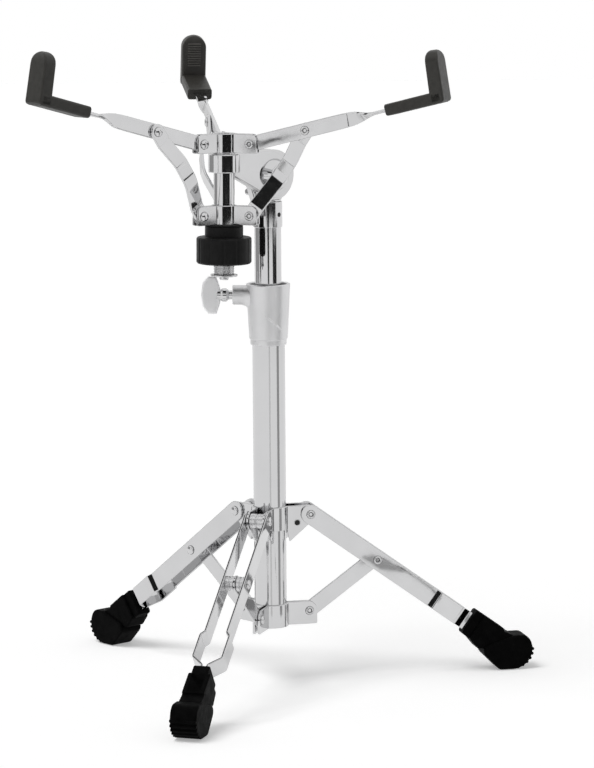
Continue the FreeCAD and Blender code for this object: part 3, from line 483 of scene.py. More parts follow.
# Stamped collars and hubs
COLLAR_SHEET = 2.0
BRACE_COLLAR_WRAP = 15.3
BRACE_COLLAR_OFFSET = 2.3
BRACE_COLLAR_REACH = 41.8
BRACE_COLLAR_RISE = 8.6
BRACE_COLLAR_DROP = 12.0
BRACE_COLLAR_CORNER = 8.0
LEG_COLLAR_WRAP = 15.6
LEG_COLLAR_OFFSET = 7.4
LEG_COLLAR_EAR = 8.0
LEG_COLLAR_REACH = PIVOT_RADIUS + LEG_COLLAR_EAR
LEG_COLLAR_DROP = 13.0
GUSSET_ROOT = 16.3
GUSSET_DROP = 24.0
GUSSET_EASE = 3.0
HOLE_SHARE = 0.42
HOLE_DROP = 7.2
HOLE_RADIUS = 2.5
HOLE_HALF = 1.06
EYELET_BORE = 2.3
EYELET_RADIUS = 3.1
EYELET_HALF = 1.12
HUB_SHEET = 2.2
HUB_REACH = 31.6
HUB_RISE = 8.6
HUB_DROP = 8.0
HUB_CORNER = 6.0
TOP_HUB_WRAP = 10.1
TOP_HUB_OFFSET = 2.9
LOW_HUB_WRAP = 10.4
LOW_HUB_OFFSET = 2.7
EAR_FOOT = 1.2
WRAP_STEPS = 14


def stamped(azimuths, wrap, offset, reach, rims, thickness, bend):
    # Each plate runs in along one limb, round the tube and out along the next
    plates = []
    order = sorted(azimuths)
    corner = sqrt(wrap ** 2 - offset ** 2)
    skew = degrees(asin(offset / wrap))
    low, high = rims
    for first, second in zip(order, order[1:] + order[:1]):
        span = (second - first) % 360
        path = [(reach, offset), (corner, offset)]
        for k in range(1, WRAP_STEPS):
            angle = radians(skew + (span - 2 * skew) * k / WRAP_STEPS)
            path.append(polar(wrap, angle))
        turn = Matrix.Rotation(radians(span), 2)
        path += [tuple(turn @ Vector((corner, -offset))), tuple(turn @ Vector((reach, -offset)))]
        radii = [0, bend] + [0] * (WRAP_STEPS - 1) + [bend, 0]
        smooth = fillet(path, radii, steps=6, closed=False)
        plate = strip(smooth, low, high, thickness, edge=0.55, step=0.8)
        plates.append(place(plate, spin(first)))
    return join(*plates)


def square_ear(bottom, top, corner):
    # Rims of a plate whose ears have a round upper corner and a slightly eased lower one
    def low(run, total):
        return bottom + max(0.0, EAR_FOOT - min(run, total - run)) / 2

    def high(run, total):
        near = min(run, total - run)
        return top if near >= corner else top - corner + sqrt(corner ** 2 - (corner - near) ** 2)

    return low, high


def ear_round(x):
    return sqrt(max(LEG_COLLAR_EAR ** 2 - (x - PIVOT_RADIUS) ** 2, 0))


def gusset_low(run, total):
    x = LEG_COLLAR_REACH - min(run, total - run)
    if x >= PIVOT_RADIUS:
        return UP_PIVOT - ear_round(x)
    if x >= GUSSET_ROOT:
        slope = (GUSSET_DROP - LEG_COLLAR_EAR) / (PIVOT_RADIUS - GUSSET_ROOT)
        return UP_PIVOT - LEG_COLLAR_EAR - slope * (PIVOT_RADIUS - x)
    rise = (GUSSET_DROP - LEG_COLLAR_DROP) * eased((GUSSET_ROOT - x) / GUSSET_EASE)
    return UP_PIVOT - GUSSET_DROP + rise


def gusset_high(run, total):
    x = LEG_COLLAR_REACH - min(run, total - run)
    return UP_PIVOT + (ear_round(x) if x >= PIVOT_RADIUS else LEG_COLLAR_EAR)


def build_collars():
    rims = square_ear(LOW_PIVOT - BRACE_COLLAR_DROP, LOW_PIVOT + BRACE_COLLAR_RISE, BRACE_COLLAR_CORNER)
    shape = stamped(LEGS.values(), BRACE_COLLAR_WRAP, BRACE_COLLAR_OFFSET, BRACE_COLLAR_REACH, rims,
                    COLLAR_SHEET, bend=2.6)
    piece("collar_lower", shape, CHROME, "base", ["brace_collar"])
    rivets("rivets_lower_collar", "seams_lower_collar", BRACE_COLLAR_OFFSET + COLLAR_SHEET / 2,
           [pivot(a, PIVOT_RADIUS, LOW_PIVOT) for a in LEGS.values()], "base", "brace_collar_rivets")
    shape = stamped(LEGS.values(), LEG_COLLAR_WRAP, LEG_COLLAR_OFFSET, LEG_COLLAR_REACH,
                    (gusset_low, gusset_high), COLLAR_SHEET, bend=2.2)
    piece("collar_upper", shape, CHROME, "leg_collar", ["leg_collar"])

    hole_radius = TUBE_RADIUS + (PIVOT_RADIUS - TUBE_RADIUS) * HOLE_SHARE
    spots = [pivot(a, hole_radius, UP_PIVOT - HOLE_DROP) @ shift(y=side * LEG_COLLAR_OFFSET) @ ALONG_Y
             for a in LEGS.values() for side in (1, -1)]
    eyelet = pipe(EYELET_RADIUS, EYELET_BORE, -EYELET_HALF, EYELET_HALF, edge=0.25, segments=32)
    shape = join(*[place(eyelet, spot) for spot in spots])
    piece("collar_eyelets", shape, STEEL, "leg_collar")
    # Dark discs in the eyelets' bores: painted shade where the holes are
    hole = rod(HOLE_RADIUS, -HOLE_HALF, HOLE_HALF, edge=0.1, segments=32)
    shape = join(*[place(hole, spot) for spot in spots])
    piece("collar_hole_shades", shape, DARK, "leg_collar")


def build_hub(prefix, height, wrap, offset, body):
    rims = square_ear(height - HUB_DROP, height + HUB_RISE, HUB_CORNER)
    shape = stamped(ARMS.values(), wrap, offset, HUB_REACH, rims, HUB_SHEET, bend=2.4)
    piece("hub_" + prefix, place(shape, BASKET), CHROME, body, [prefix + "_hub"])
    rivets("rivets_" + prefix + "_hub", "seams_" + prefix + "_hub", offset + HUB_SHEET / 2,
           [BASKET @ pivot(a, HUB_RADIUS, height) for a in ARMS.values()], body, prefix + "_hub_rivets")


# Tubes, braces and legs
BRACE_END_SHARES = [1.0, 0.96, 0.85, 0.6]
LEG_END_SHARES = [1.0, 0.97, 0.9, 0.75]
BOW_START = 138.0
BOW_FULL = 142.0
BOW_END = 167.0
BOW_OFFSET = 13.0
MOUTH_STATION = 175.5
MOUTH_OFFSET = 2.6
STRIP_END = 203.0
LEG_BENDS = [0, 1.6, 1.6, 3, 3, 0]
BRACE_GAP = 1.3
EAR_GAP = 6.1


def build_tubes():
    shape = pipe(TUBE_RADIUS, TUBE_BORE, TUBE_BOTTOM, TUBE_TOP, edge=0.5, segments=128)
    piece("tube_lower", shape, CHROME_TUBE, "base", ["lower_tube"])
    shape = pipe(UPPER_RADIUS, UPPER_BORE, UPPER_BOTTOM, UPPER_TOP, edge=0.5, segments=128)
    piece("tube_upper", shape, CHROME_TUBE, "upper", ["upper_tube"])


def build_brace(name, azimuth):
    half = BRACE_WIDTH / 2
    path = [(-half * share, 0) for share in BRACE_END_SHARES] + [(0, 0), (SPAN, 0)]
    path += [(SPAN + half * share, 0) for share in BRACE_END_SHARES[::-1]]
    shape = strip(path, *eye(BRACE_WIDTH), STRIP_SHEET, edge=0.6)
    shape = place(shape, pivot(azimuth, PIVOT_RADIUS, LOW_PIVOT, -LEG_DROP))
    piece(name + "_brace_strip", shape, CHROME, name + "_brace", [name + "_brace"])


def leg_side(side):
    half = STRIP_WIDTH / 2
    path = [(-half, STRIP_OFFSET), (BOW_START, STRIP_OFFSET), (BOW_FULL, BOW_OFFSET), (BOW_END, BOW_OFFSET),
            (MOUTH_STATION, MOUTH_OFFSET), (STRIP_END + half, MOUTH_OFFSET)]
    bent = fillet([(x, side * y) for x, y in path], LEG_BENDS, steps=6, closed=False)
    ends = [(-half * share, side * STRIP_OFFSET) for share in LEG_END_SHARES]
    return strip(ends + bent[1:], *eye(STRIP_WIDTH), STRIP_SHEET, edge=0.6, step=2.0)


def build_leg(name, azimuth):
    body = name + "_leg"
    for letter, side in (("a", 1), ("b", -1)):
        shape = place(leg_side(side), on_leg(azimuth))
        piece(body + "_side_" + letter, shape, CHROME, body, [body + "_strip_" + letter])
    inner, outer = STRIP_OFFSET - STRIP_SHEET / 2, STRIP_OFFSET + STRIP_SHEET / 2
    rivets(body + "_pins", body + "_seams", outer, [on_leg(azimuth) @ shift(x) for x in (0, SPAN)], body,
           body + "_rivets")
    pair = place(join(bush(BRACE_GAP, inner), bush(-inner, -BRACE_GAP)), shift(SPAN))
    shape = place(join(pair, bush(-EAR_GAP, EAR_GAP)), on_leg(azimuth))
    piece(body + "_bushes", shape, CAST, body, [body + "_spacers"])


# Rubber feet, drawn in radius and height from the middle of the mouth
FOOT_MOUTH = 180.5
FOOT_RISE = 4.6
FOOT_DROP = 3.3
SOLE_START = 27.8
SOLE_END = 40.1
CROWN_START = 41.3
CROWN_END = 49.0
NOSE_REACH = 58.6
NOSE_HEIGHT = 18.0
CROWN_HEIGHT = 31.0
HEEL_SHARE = 0.42
TIER_START = 8.5
TIER_END = 31.5
WAIST_DROP = 2.0
SOCKET_HALF = 7.4
TIER_HALF = 9.9
TOE_HALF = 11.9
TREAD_RADIUS = 1.4
TREAD_HALF = 11.8
TREAD_COUNT = 6
TOE_STEPS = 12
SOCKET_ROUNDS = [2.0, 1, 1, 2.5]
TIER_ROUNDS = [1.6, 1.0, 0.8, 2, 2, 3, 2]
TOE_ROUNDS = [5, 4] + [0] * 2 * TOE_STEPS + [4, 6]


def build_foot(name, azimuth):
    mouth_x = PIVOT_RADIUS + FOOT_MOUTH * LEG_RUN
    mouth_z = UP_PIVOT - FOOT_MOUTH * LEG_FALL

    def at(station, across):
        x = mouth_x + station * LEG_RUN + across * LEG_FALL
        return (x, mouth_z - station * LEG_FALL + across * LEG_RUN)

    top, low = STRIP_WIDTH / 2 + FOOT_RISE, -STRIP_WIDTH / 2 - FOOT_DROP
    sole_x, sole_end, nose_x = mouth_x + SOLE_START, mouth_x + SOLE_END, mouth_x + NOSE_REACH
    crown = (mouth_x + CROWN_START, CROWN_HEIGHT)
    crown_end = mouth_x + CROWN_END
    back_x, back_z = at(0, low)
    heel = (back_x + (sole_x - back_x) * HEEL_SHARE, back_z * (1 - HEEL_SHARE))

    def under(steps, base=0.0):
        long, tall = nose_x - sole_end, NOSE_HEIGHT - base
        return [(sole_end + long * sin(t), NOSE_HEIGHT - tall * cos(t)) for t in quarter_turns(steps)]

    over = [(crown_end + (nose_x - crown_end) * cos(t),
             NOSE_HEIGHT + (CROWN_HEIGHT - NOSE_HEIGHT) * sin(t)) for t in quarter_turns(TOE_STEPS)]
    socket = [at(0, top), at(TIER_END, top), at(TIER_END, low), at(0, low)]
    tier = [at(TIER_START, top), at(TIER_END, top), at(TIER_END, top - WAIST_DROP), crown,
            (sole_end, NOSE_HEIGHT), heel, at(TIER_START, low)]
    toe = [(sole_x, 0), (sole_end, 0)] + under(TOE_STEPS) + over + [crown, heel]
    parts = [slab(fillet(socket, SOCKET_ROUNDS), -SOCKET_HALF, SOCKET_HALF, edge=1.3),
             slab(fillet(tier, TIER_ROUNDS), -TIER_HALF, TIER_HALF, edge=1.3),
             slab(fillet(toe, TOE_ROUNDS, steps=5), -TOE_HALF, TOE_HALF, edge=1.6)]
    tread = place(rod(TREAD_RADIUS, -TREAD_HALF, TREAD_HALF, edge=0.5, segments=20), ALONG_Y)
    parts += [place(tread, shift(x, 0, z)) for x, z in under(TREAD_COUNT, TREAD_RADIUS)]
    shape = place(join(*parts), spin(azimuth))
    piece(name + "_rubber_foot", shape, FOOT, name + "_leg", [name + "_foot"], sharp=60)


# Height clamp: tapered casting with a boss for the wing screw and a raised crease
CLAMP_BOTTOM = 303.0
CLAMP_LIP = 308.0
CLAMP_LIP_RADIUS = 16.0
CLAMP_STEP = 0.4
CLAMP_LOW_RADIUS = 16.9
CLAMP_TOP_RADIUS = 19.4
CLAMP_TOP = 357.0
CLAMP_BORE = 16.6
CLAMP_SCREW = 347.0
BOSS_RADIUS = 8.6
BOSS_REACH = 31.5
BOSS_SEGMENTS = 48
BOSS_SECTIONS = [(14.0, 8.0, 0.0, 2.0), (16.5, 5.0, 0.0, 1.6), (18.5, 2.6, 0.0, 1.0), (20.5, 1.0, 0.0, 0.5),
                 (23.0, 0.1, 0.0, 0.1), (30.6, 0.0, 0.0, 0.0), (31.2, -0.25, -0.25, -0.25),
                 (BOSS_REACH, -0.8, -0.8, -0.8), (BOSS_REACH, -4.3, -4.3, -4.3), (24.0, -4.3, -4.3, -4.3)]
CREASE_TOP = 330.5
CREASE_FALL = 15.0
CREASE_AZIMUTH = -100.0
CREASE_SWEEP = 58.0
CREASE_HALF = 1.15
CREASE_DEPTH_SHARE = 0.55
CREASE_WIDTH_SHARE = 1.2
CREASE_STEPS = 12
CREASE_SEGMENTS = 8
CREASE_FADE = 0.25
CREASE_END_SHARE = 0.02


def clamp_boss():
    # Each section gives its reach, and by how much it is larger below, above and to the sides
    rings = []
    for x, drop, rise, wide in BOSS_SECTIONS:
        ring = []
        for t in turns(BOSS_SEGMENTS):
            tall = BOSS_RADIUS + (rise if sin(t) > 0 else drop)
            ring.append((-x, (BOSS_RADIUS + wide) * cos(t), CLAMP_SCREW + tall * sin(t)))
        rings.append(ring)
    return loft(rings)


def clamp_crease():
    rings = []
    taper = (CLAMP_TOP_RADIUS - CLAMP_LOW_RADIUS) / (CLAMP_TOP - CLAMP_LIP)
    for k in range(CREASE_STEPS + 1):
        share = k / CREASE_STEPS
        z = CREASE_TOP - CREASE_FALL * share
        angle = radians(CREASE_AZIMUTH + CREASE_SWEEP * share)
        within = min(max(share, CREASE_END_SHARE), 1 - CREASE_END_SHARE)
        half = CREASE_HALF * sin(pi * within) ** CREASE_FADE
        ring = []
        for t in turns(CREASE_SEGMENTS):
            r = CLAMP_LOW_RADIUS + taper * (z - CLAMP_LIP) + half * CREASE_DEPTH_SHARE * cos(t)
            rise = half * CREASE_WIDTH_SHARE * sin(t)
            ring.append(polar(r, angle, z + rise))
        rings.append(ring)
    return loft(rings)


def build_clamp():
    profile = [(TUBE_RADIUS, CLAMP_BOTTOM), (CLAMP_LIP_RADIUS, CLAMP_BOTTOM), (CLAMP_LIP_RADIUS, CLAMP_LIP),
               (CLAMP_LOW_RADIUS, CLAMP_LIP + CLAMP_STEP), (CLAMP_TOP_RADIUS, CLAMP_TOP),
               (CLAMP_BORE, CLAMP_TOP), (CLAMP_BORE, TUBE_TOP), (TUBE_RADIUS, TUBE_TOP)]
    body = turned(profile, edge=0.9, segments=96, ring=True, steps=4)
    shape = join(body, clamp_boss(), clamp_crease())
    piece("clamp_casting", shape, CAST, "base", ["height_clamp"])


# Wing screws along local X: a stem's profile is counted from the face that it grips, and a wing has its
# length and half its width
SCREW_GAP = 0.3
STEM_RADIUS = 4.0
STEM_END = [(4.0, 3.2), (4.4, 3.4), (5.9, 5.2), (5.9, 8.6), (4.9, 10.2), (4.9, 13.6), (0, 13.6)]
WING_START = 10.7
WING_THICKNESS = 6.0
WING_SHARES = [(0.10, 0.72), (0.20, 0.985), (0.62, 0.985), (0.92, 0.62), (1.0, 0.0)]
WING_ROOT_SHARE = 0.36
WING_ROUNDS = [1.5, 3, 1.2, 1.6, 5]
WING_END_ROUND = 6
CLAMP_WING = (16.8, 16.8)
LOCK_AZIMUTH = 80.0
LOCK_DROP = 2.5
LOCK_REACH = 27.0
LOCK_WING = (12.0, 14.0)


def build_wing_screw(prefix, spot, grip, length, half):
    profile = [(0, 0), (STEM_RADIUS, 0)] + [(r, grip + x) for r, x in STEM_END]
    stem = place(turned(profile, edge=0.5, segments=40), ALONG_X)
    upper = [(x * length, z * half) for x, z in WING_SHARES]
    root = WING_ROOT_SHARE * half
    outline = [(0, -root)] + [(x, -z) for x, z in upper] + upper[-2::-1] + [(0, root)]
    outline = fillet(outline, WING_ROUNDS + [WING_END_ROUND] + WING_ROUNDS[::-1], steps=6)
    wing = slab(outline, -WING_THICKNESS / 2, WING_THICKNESS / 2, edge=1.3, steps=5)
    wing = place(wing, shift(grip + WING_START))
    body = prefix + "_screw"
    piece(prefix + "_wing", place(wing, spot), WING, body, [prefix + "_wing_screw"])
    piece(prefix + "_stem", place(stem, spot), CHROME, body)


def build_wing_screws():
    end = UPPER_RADIUS + SCREW_GAP
    build_wing_screw("clamp", shift(-end, 0, CLAMP_SCREW) @ spin(180.0), BOSS_REACH - end, *CLAMP_WING)
    end = TUBE_RADIUS + SCREW_GAP
    build_wing_screw("collar", spin(LOCK_AZIMUTH) @ shift(end, 0, UP_PIVOT - LOCK_DROP), LOCK_REACH - end,
                     *LOCK_WING)


# Tube cap and tilter; the tilter's profiles lie along its bolt, and heights are counted from the bolt
CAP_RADIUS = 12.9
CAP_BOTTOM = 407.0
CAP_TOP = 429.5
CAP_SCREW_AZIMUTH = 322.0
CAP_SCREW_RADIUS = 2.0
CAP_SCREW_START = 11.9
CAP_SCREW_END = 13.1
DISC_FRONT = -2.0
DISC_BACK = 6.0
NECK_OUTLINE = [(-19.3, -11.2), (-14.9, -23.4), (14.9, -23.4), (19.3, -11.2)]
NECK_MARGIN = 0.1
SEAT_RADIUS = 11.9
SEAT_BOTTOM = -23.4
SEAT_TOP = -21.6
SPIGOT_RADIUS = 10.2
SPIGOT_BOTTOM = -45.0
SPIGOT_TOP = -23.2
BRACKET_FRONT = -10.3
BRACKET_BACK = -2.3
WEB_LOW = 5.0
WEB_HIGH = 21.0
SLEEVE_RADIUS = 13.8
DISC_STEPS = 48
BRACKET_BOSS_PROFILE = [(4.1, -18.3), (10.6, -18.3), (15.0, -10.2), (4.1, -10.0)]
BOLT_PROFILE = [(0, -21.3), (6.4, -21.3), (8.0, -20.0), (8.0, -18.4), (4.0, -18.4), (4.0, 17.0), (0, 17.0)]
WING_NUT_PROFILE = [(4.1, 6.3), (8.0, 6.3), (7.2, 17.0), (4.1, 17.0)]
WING_NUT_OUTLINE = [(6.0, 9.0), (13.0, 11.0), (20.0, 17.0), (20.0, 28.0), (15.5, 29.5), (10.0, 19.0),
                    (5.5, 16.0)]
WING_NUT_HALF = 2.5


def build_cap():
    shape = pipe(CAP_RADIUS, UPPER_RADIUS, CAP_BOTTOM, CAP_TOP, edge=0.9, steps=4)
    piece("cap_sleeve", shape, CHROME_TUBE, "upper", ["tube_cap"])
    screw = rod(CAP_SCREW_RADIUS, CAP_SCREW_START, CAP_SCREW_END, edge=0.1, segments=32)
    screw = place(screw, shift(z=(CAP_BOTTOM + CAP_TOP) / 2) @ spin(CAP_SCREW_AZIMUTH) @ ALONG_X)
    piece("cap_grub_screw", screw, DARK, "upper", ["cap_screw"])


def bracket_outline():
    # From the sleeve's edge round the disc, and back where the web's lower edge meets the disc
    start = Vector((-BRACKET_REACH, WEB_LOW))
    reach = Vector((BRACKET_REACH, -WEB_LOW - TILT_RADIUS))
    a, b, c = reach.dot(reach), 2 * start.dot(reach), start.dot(start) - TILT_RADIUS ** 2
    meet = start + reach * ((-b - sqrt(b * b - 4 * a * c)) / (2 * a))
    sweep = (90.0 - degrees(atan2(meet.y, meet.x))) % 360
    outline = [(-BRACKET_REACH, WEB_LOW), (-BRACKET_REACH, WEB_HIGH)]
    for k in range(DISC_STEPS + 1):
        angle = radians(90.0 - sweep * k / DISC_STEPS)
        outline.append(polar(TILT_RADIUS, angle))
    return outline


def build_tilter():
    disc = place(rod(TILT_RADIUS, DISC_FRONT, DISC_BACK, edge=1.2, segments=96, steps=4), ALONG_Y)
    outline = fillet(NECK_OUTLINE, radius=0.5)
    neck = slab(outline, DISC_FRONT + NECK_MARGIN, DISC_BACK - NECK_MARGIN, edge=1.2)
    seat = rod(SEAT_RADIUS, SEAT_BOTTOM, SEAT_TOP, edge=0.5)
    spigot = rod(SPIGOT_RADIUS, SPIGOT_BOTTOM, SPIGOT_TOP, edge=0.5, segments=48)
    shape = place(join(disc, neck, seat, spigot), TILTER)
    piece("tilter_tube_half", shape, CHROME, "upper", ["tilter_post"])

    plate = slab(bracket_outline(), BRACKET_FRONT, BRACKET_BACK, edge=1.2, steps=4)
    boss = place(turned(BRACKET_BOSS_PROFILE, edge=0.7, ring=True), ALONG_Y)
    bottom, top = TILT_HEIGHT + WEB_LOW, TILT_HEIGHT + WEB_HIGH
    sleeve = pipe(SLEEVE_RADIUS, POST_RADIUS, bottom, top, edge=0.9, steps=4)
    shape = join(place(join(plate, boss), TILTED), place(sleeve, BASKET))
    piece("tilter_basket_half", shape, CHROME, "basket", ["tilter_bracket"])

    bolt = place(turned(BOLT_PROFILE, edge=0.8, segments=48), TILTER @ ALONG_Y)
    piece("tilter_bolt_round", bolt, CHROME, "upper", ["tilter_bolt"])
    hub = place(turned(WING_NUT_PROFILE, edge=0.8, segments=48, ring=True), ALONG_Y)
    ears = []
    for side in (1, -1):
        outline = fillet([(side * z, y) for z, y in WING_NUT_OUTLINE], radius=2.5, steps=5)
        ears.append(slab(outline, -WING_NUT_HALF, WING_NUT_HALF, edge=1.6, steps=4))
    swapped_axes = Matrix(((0, 1, 0, 0), (0, 0, 1, 0), (1, 0, 0, 0), (0, 0, 0, 1)))
    shape = place(join(hub, place(join(*ears), swapped_axes)), TILTER)
    piece("tilter_wing", shape, CHROME, "tilter_nut", ["tilter_wing_nut"])


# Basket post with its thread, its end washer and screw, and the round nut with shallow flutes
POST_BOTTOM = 369.5
POST_TOP = 491.0
POST_BORE = 6.0
POST_BEVEL = 0.5
THREAD_ROOT = 8.3
THREAD_CREST = 8.95
THREAD_START = 369.95
THREAD_PITCH = 1.5
THREAD_COUNT = 38
THREAD_END = 427.0
THREAD_FORM = [(THREAD_CREST, 0.0), (THREAD_CREST, 0.25), (THREAD_ROOT, 0.65), (THREAD_ROOT, 0.95),
               (THREAD_CREST, 1.35)]
SHANK_START = 428.0
SHANK_START_RADIUS = 8.98
PLATING_INNER = 9.02
PLATING_OUTER = 9.06
PLATING_BOTTOM = 429.7
PLATING_TOP = 457.9
WASHER_RADIUS = 11.8
WASHER_BORE = 2.5
WASHER_BOTTOM = 367.7
END_SCREW_PROFILE = [(0, 365.6), (1.9, 365.6), (1.9, 364.5), (3.5, 364.5), (4.0, 365.3), (4.0, WASHER_BOTTOM),
                     (WASHER_BORE, WASHER_BOTTOM), (WASHER_BORE, 386.0), (0, 386.0)]
NUT_DROP = 42.2
NUT_OUTLINE = [(9.3, 0), (22.6, 0), (24.0, 1.4), (24.0, 21.8), (23.0, 23.0), (17.2, 23.0), (16.6, 23.4),
               (16.6, 32.7), (9.3, 32.7)]
NUT_ROUNDS = [0.3, 0.8, 0.8, 0.8, 0.8, 0.5, 0.3, 0.8, 0.3]
FLUTE_COUNT = 12
FLUTE_DEPTH = 0.45
FLUTE_FROM = 21.5
FLUTE_SHARPNESS = 14
KNURL_COUNT = 72
KNURL_DEPTH = 0.04
KNURL_FROM = 23.6
NUT_SEGMENTS = 288


def build_post():
    profile = [(POST_BORE, POST_BOTTOM), (THREAD_ROOT, POST_BOTTOM)]
    for k in range(THREAD_COUNT):
        profile += [(r, THREAD_START + THREAD_PITCH * k + z) for r, z in THREAD_FORM]
    profile = [(r, z) for r, z in profile if z < THREAD_END]
    profile += [(SHANK_START_RADIUS, SHANK_START), (POST_RADIUS, POST_TOP - POST_BEVEL),
                (POST_RADIUS - POST_BEVEL, POST_TOP), (POST_BORE, POST_TOP)]
    shape = place(lathe(profile, segments=72, ring=True), BASKET)
    piece("post_threaded", shape, STEEL, "basket", ["basket_post"], sharp=35)
    plating = pipe(PLATING_OUTER, PLATING_INNER, PLATING_BOTTOM, PLATING_TOP, edge=0.0)
    piece("post_plating", place(plating, BASKET), CHROME_TUBE, "basket")
    washer = pipe(WASHER_RADIUS, WASHER_BORE, WASHER_BOTTOM, POST_BOTTOM, edge=0.5, segments=64)
    piece("washer_end", place(washer, BASKET), STEEL, "basket", ["end_washer"])
    screw = turned(END_SCREW_PROFILE, edge=0.3, segments=40)
    piece("screw_end", place(screw, BASKET), STEEL, "basket", ["end_screw"])


def build_nut():
    rings = []
    for radius, z in fillet(NUT_OUTLINE, NUT_ROUNDS):
        ring = []
        for angle in turns(NUT_SEGMENTS):
            flute = max(0.0, cos(FLUTE_COUNT * angle)) ** FLUTE_SHARPNESS
            r = radius
            if radius > FLUTE_FROM:
                r -= flute * FLUTE_DEPTH
            if radius > KNURL_FROM:
                r += KNURL_DEPTH * (cos(KNURL_COUNT * angle) * (1 - flute) - 1)
            ring.append(polar(r, angle, LOW_HUB - NUT_DROP + z))
        rings.append(ring)
    shape = place(loft(rings + rings[:1], caps=False), BASKET)
    piece("nut_grip", shape, PLASTIC, "nut", ["basket_nut"], sharp=60)


# Basket arms, links and rubber tips
ARM_HALF = 6.5
ARM_SHEET = 3.0
ARM_END = [6.5, 6.3, 5.8, 4.8, 2.5, 0.0]
ARM_COVERED = 5.0
TWIST_START = 90.0
TWIST_LENGTH = 27.0
PINCH = 1.6
PINCH_STATION = 112.0
PINCH_LENGTH = 15.0
LINK_WIDTH = 13.6
LINK_SHEET = 2.6
LINK_OFFSET = 3.1
LINK_END = [6.8, 6.6, 6.0, 4.6]
LINK_BOW_START = 12.0
LINK_BOW_FULL = 32.0
LINK_BOW_END = 52.0
LINK_BOW_OFFSET = 12.0
LINK_SEAT = 10.0
LINK_BENDS = [0, 0, 0, 0, 4, 16, 32, 7, 0, 0, 0, 0]
TIP_LEAN = 6.0
TIP_HALF = 11.0
TIP_SOLE_HALF = 5.0
TIP_SOLE_GROWTH = 0.2
TIP_SOLE_ROUND = 2.2
TIP_SOLE_PINCH_SHARE = 0.06
TIP_HEIGHT = 39.5
TIP_BOTTOM = -5.2
TIP_THICKNESS = 12.5
TIP_TAPER = 1.0
TIP_ARCH = 11.0
TIP_DOME = 7.0
TIP_DOME_DEPTH = 3.6
TIP_HEEL = 3.0
TIP_ROUND = 1.7
TIP_TOP_SHARE = 0.006
SOLE_STATIONS = [(0.0, 0.88), (0.3, 0.95), (0.9, 1.0), (18.0, 1.0), (36.0, 1.0), (50.0, 1.0)]
UPRIGHT_STATIONS = [TIP_BOTTOM, -5.05, -4.7, -4.0, -3.2, -2.2, 0.0, 6.0, 14.0, 20.0, 25.0, 28.5, 30.5, 32.5,
                    34.5, 36.1, 37.4, 38.4, 39.1, 39.45]
RIB_COUNT = 10
RIB_START_SHARE = 0.30
RIB_PITCH_SHARE = 0.056
RIB_HALF = 0.62
RIB_LIFT = 1.0
RIB_ROOT = 1.5
RIB_ROUND = 0.45
RIB_STATIONS = [(-6.0, 0.55), (-5.6, 0.55), (-5.0, 1.0), (5.0, 1.0), (5.6, 0.55), (6.0, 0.55)]
TIP_PLACE = shift(TIP_BACK) @ dip(TIP_LEAN)


def arm_twist(run):
    return radians(90.0) * eased((run - ARM_HALF - TWIST_START) / TWIST_LENGTH)


def arm_top(run, total):
    if run < ARM_HALF:
        return round_end(run, ARM_HALF)
    return ARM_HALF - PINCH * exp(-((run - ARM_HALF - PINCH_STATION) / PINCH_LENGTH) ** 2)


def arm_bottom(run, total):
    return -arm_top(run, total)


def build_arm(name, azimuth):
    body = name + "_arm"
    path = [(-x, 0) for x in ARM_END] + [(TIP_BACK - ARM_COVERED, 0)]
    blade = strip(path, arm_bottom, arm_top, ARM_SHEET, edge=0.8, step=2.0, twist=arm_twist)
    piece(body + "_blade", place(blade, on_arm(azimuth)), CHROME, body, [body])
    near, far = ARM_SHEET / 2, LINK_OFFSET + LINK_SHEET / 2
    spot = on_arm(azimuth) @ shift(ARM_MIDDLE, (far - near) / 2)
    rivets(body + "_pin", body + "_seam", (near + far) / 2, [spot], body, body + "_rivet")


def build_link(name, azimuth):
    path = [(-x, LINK_OFFSET) for x in LINK_END]
    path += [(LINK_BOW_START, LINK_OFFSET), (LINK_BOW_FULL, LINK_BOW_OFFSET), (LINK_BOW_END, LINK_BOW_OFFSET),
             (LINK_SPAN - LINK_SEAT, 0)]
    path += [(LINK_SPAN + x, 0) for x in LINK_END[::-1]]
    bent = fillet(path, LINK_BENDS, steps=8, closed=False)
    shape = strip(bent, *eye(LINK_WIDTH), LINK_SHEET, edge=0.7)
    shape = place(shape, BASKET @ pivot(azimuth, MIDDLE_RADIUS, MIDDLE_HEIGHT, LINK_TURN))
    piece(name + "_link_strip", shape, CHROME, name + "_link", [name + "_link"])


def tip_sole():
    rings = []
    for x, squeeze in SOLE_STATIONS:
        half_t = (TIP_SOLE_HALF + TIP_SOLE_GROWTH * x / (TIP_BACK - TIP_START)) * squeeze
        half_w = TIP_HALF * (1 - TIP_SOLE_PINCH_SHARE * (1 - squeeze))
        rim = box_ring(-half_t, half_t, -half_w, half_w, TIP_SOLE_ROUND, steps=4)
        rings.append([(TIP_START + x, w, n) for n, w in rim])
    return loft(rings)


def round_share(share):
    # How far a quarter round has drawn in, from 0 at its start to 1 at its end
    return 1 - sqrt(max(1 - share ** 2, 0))


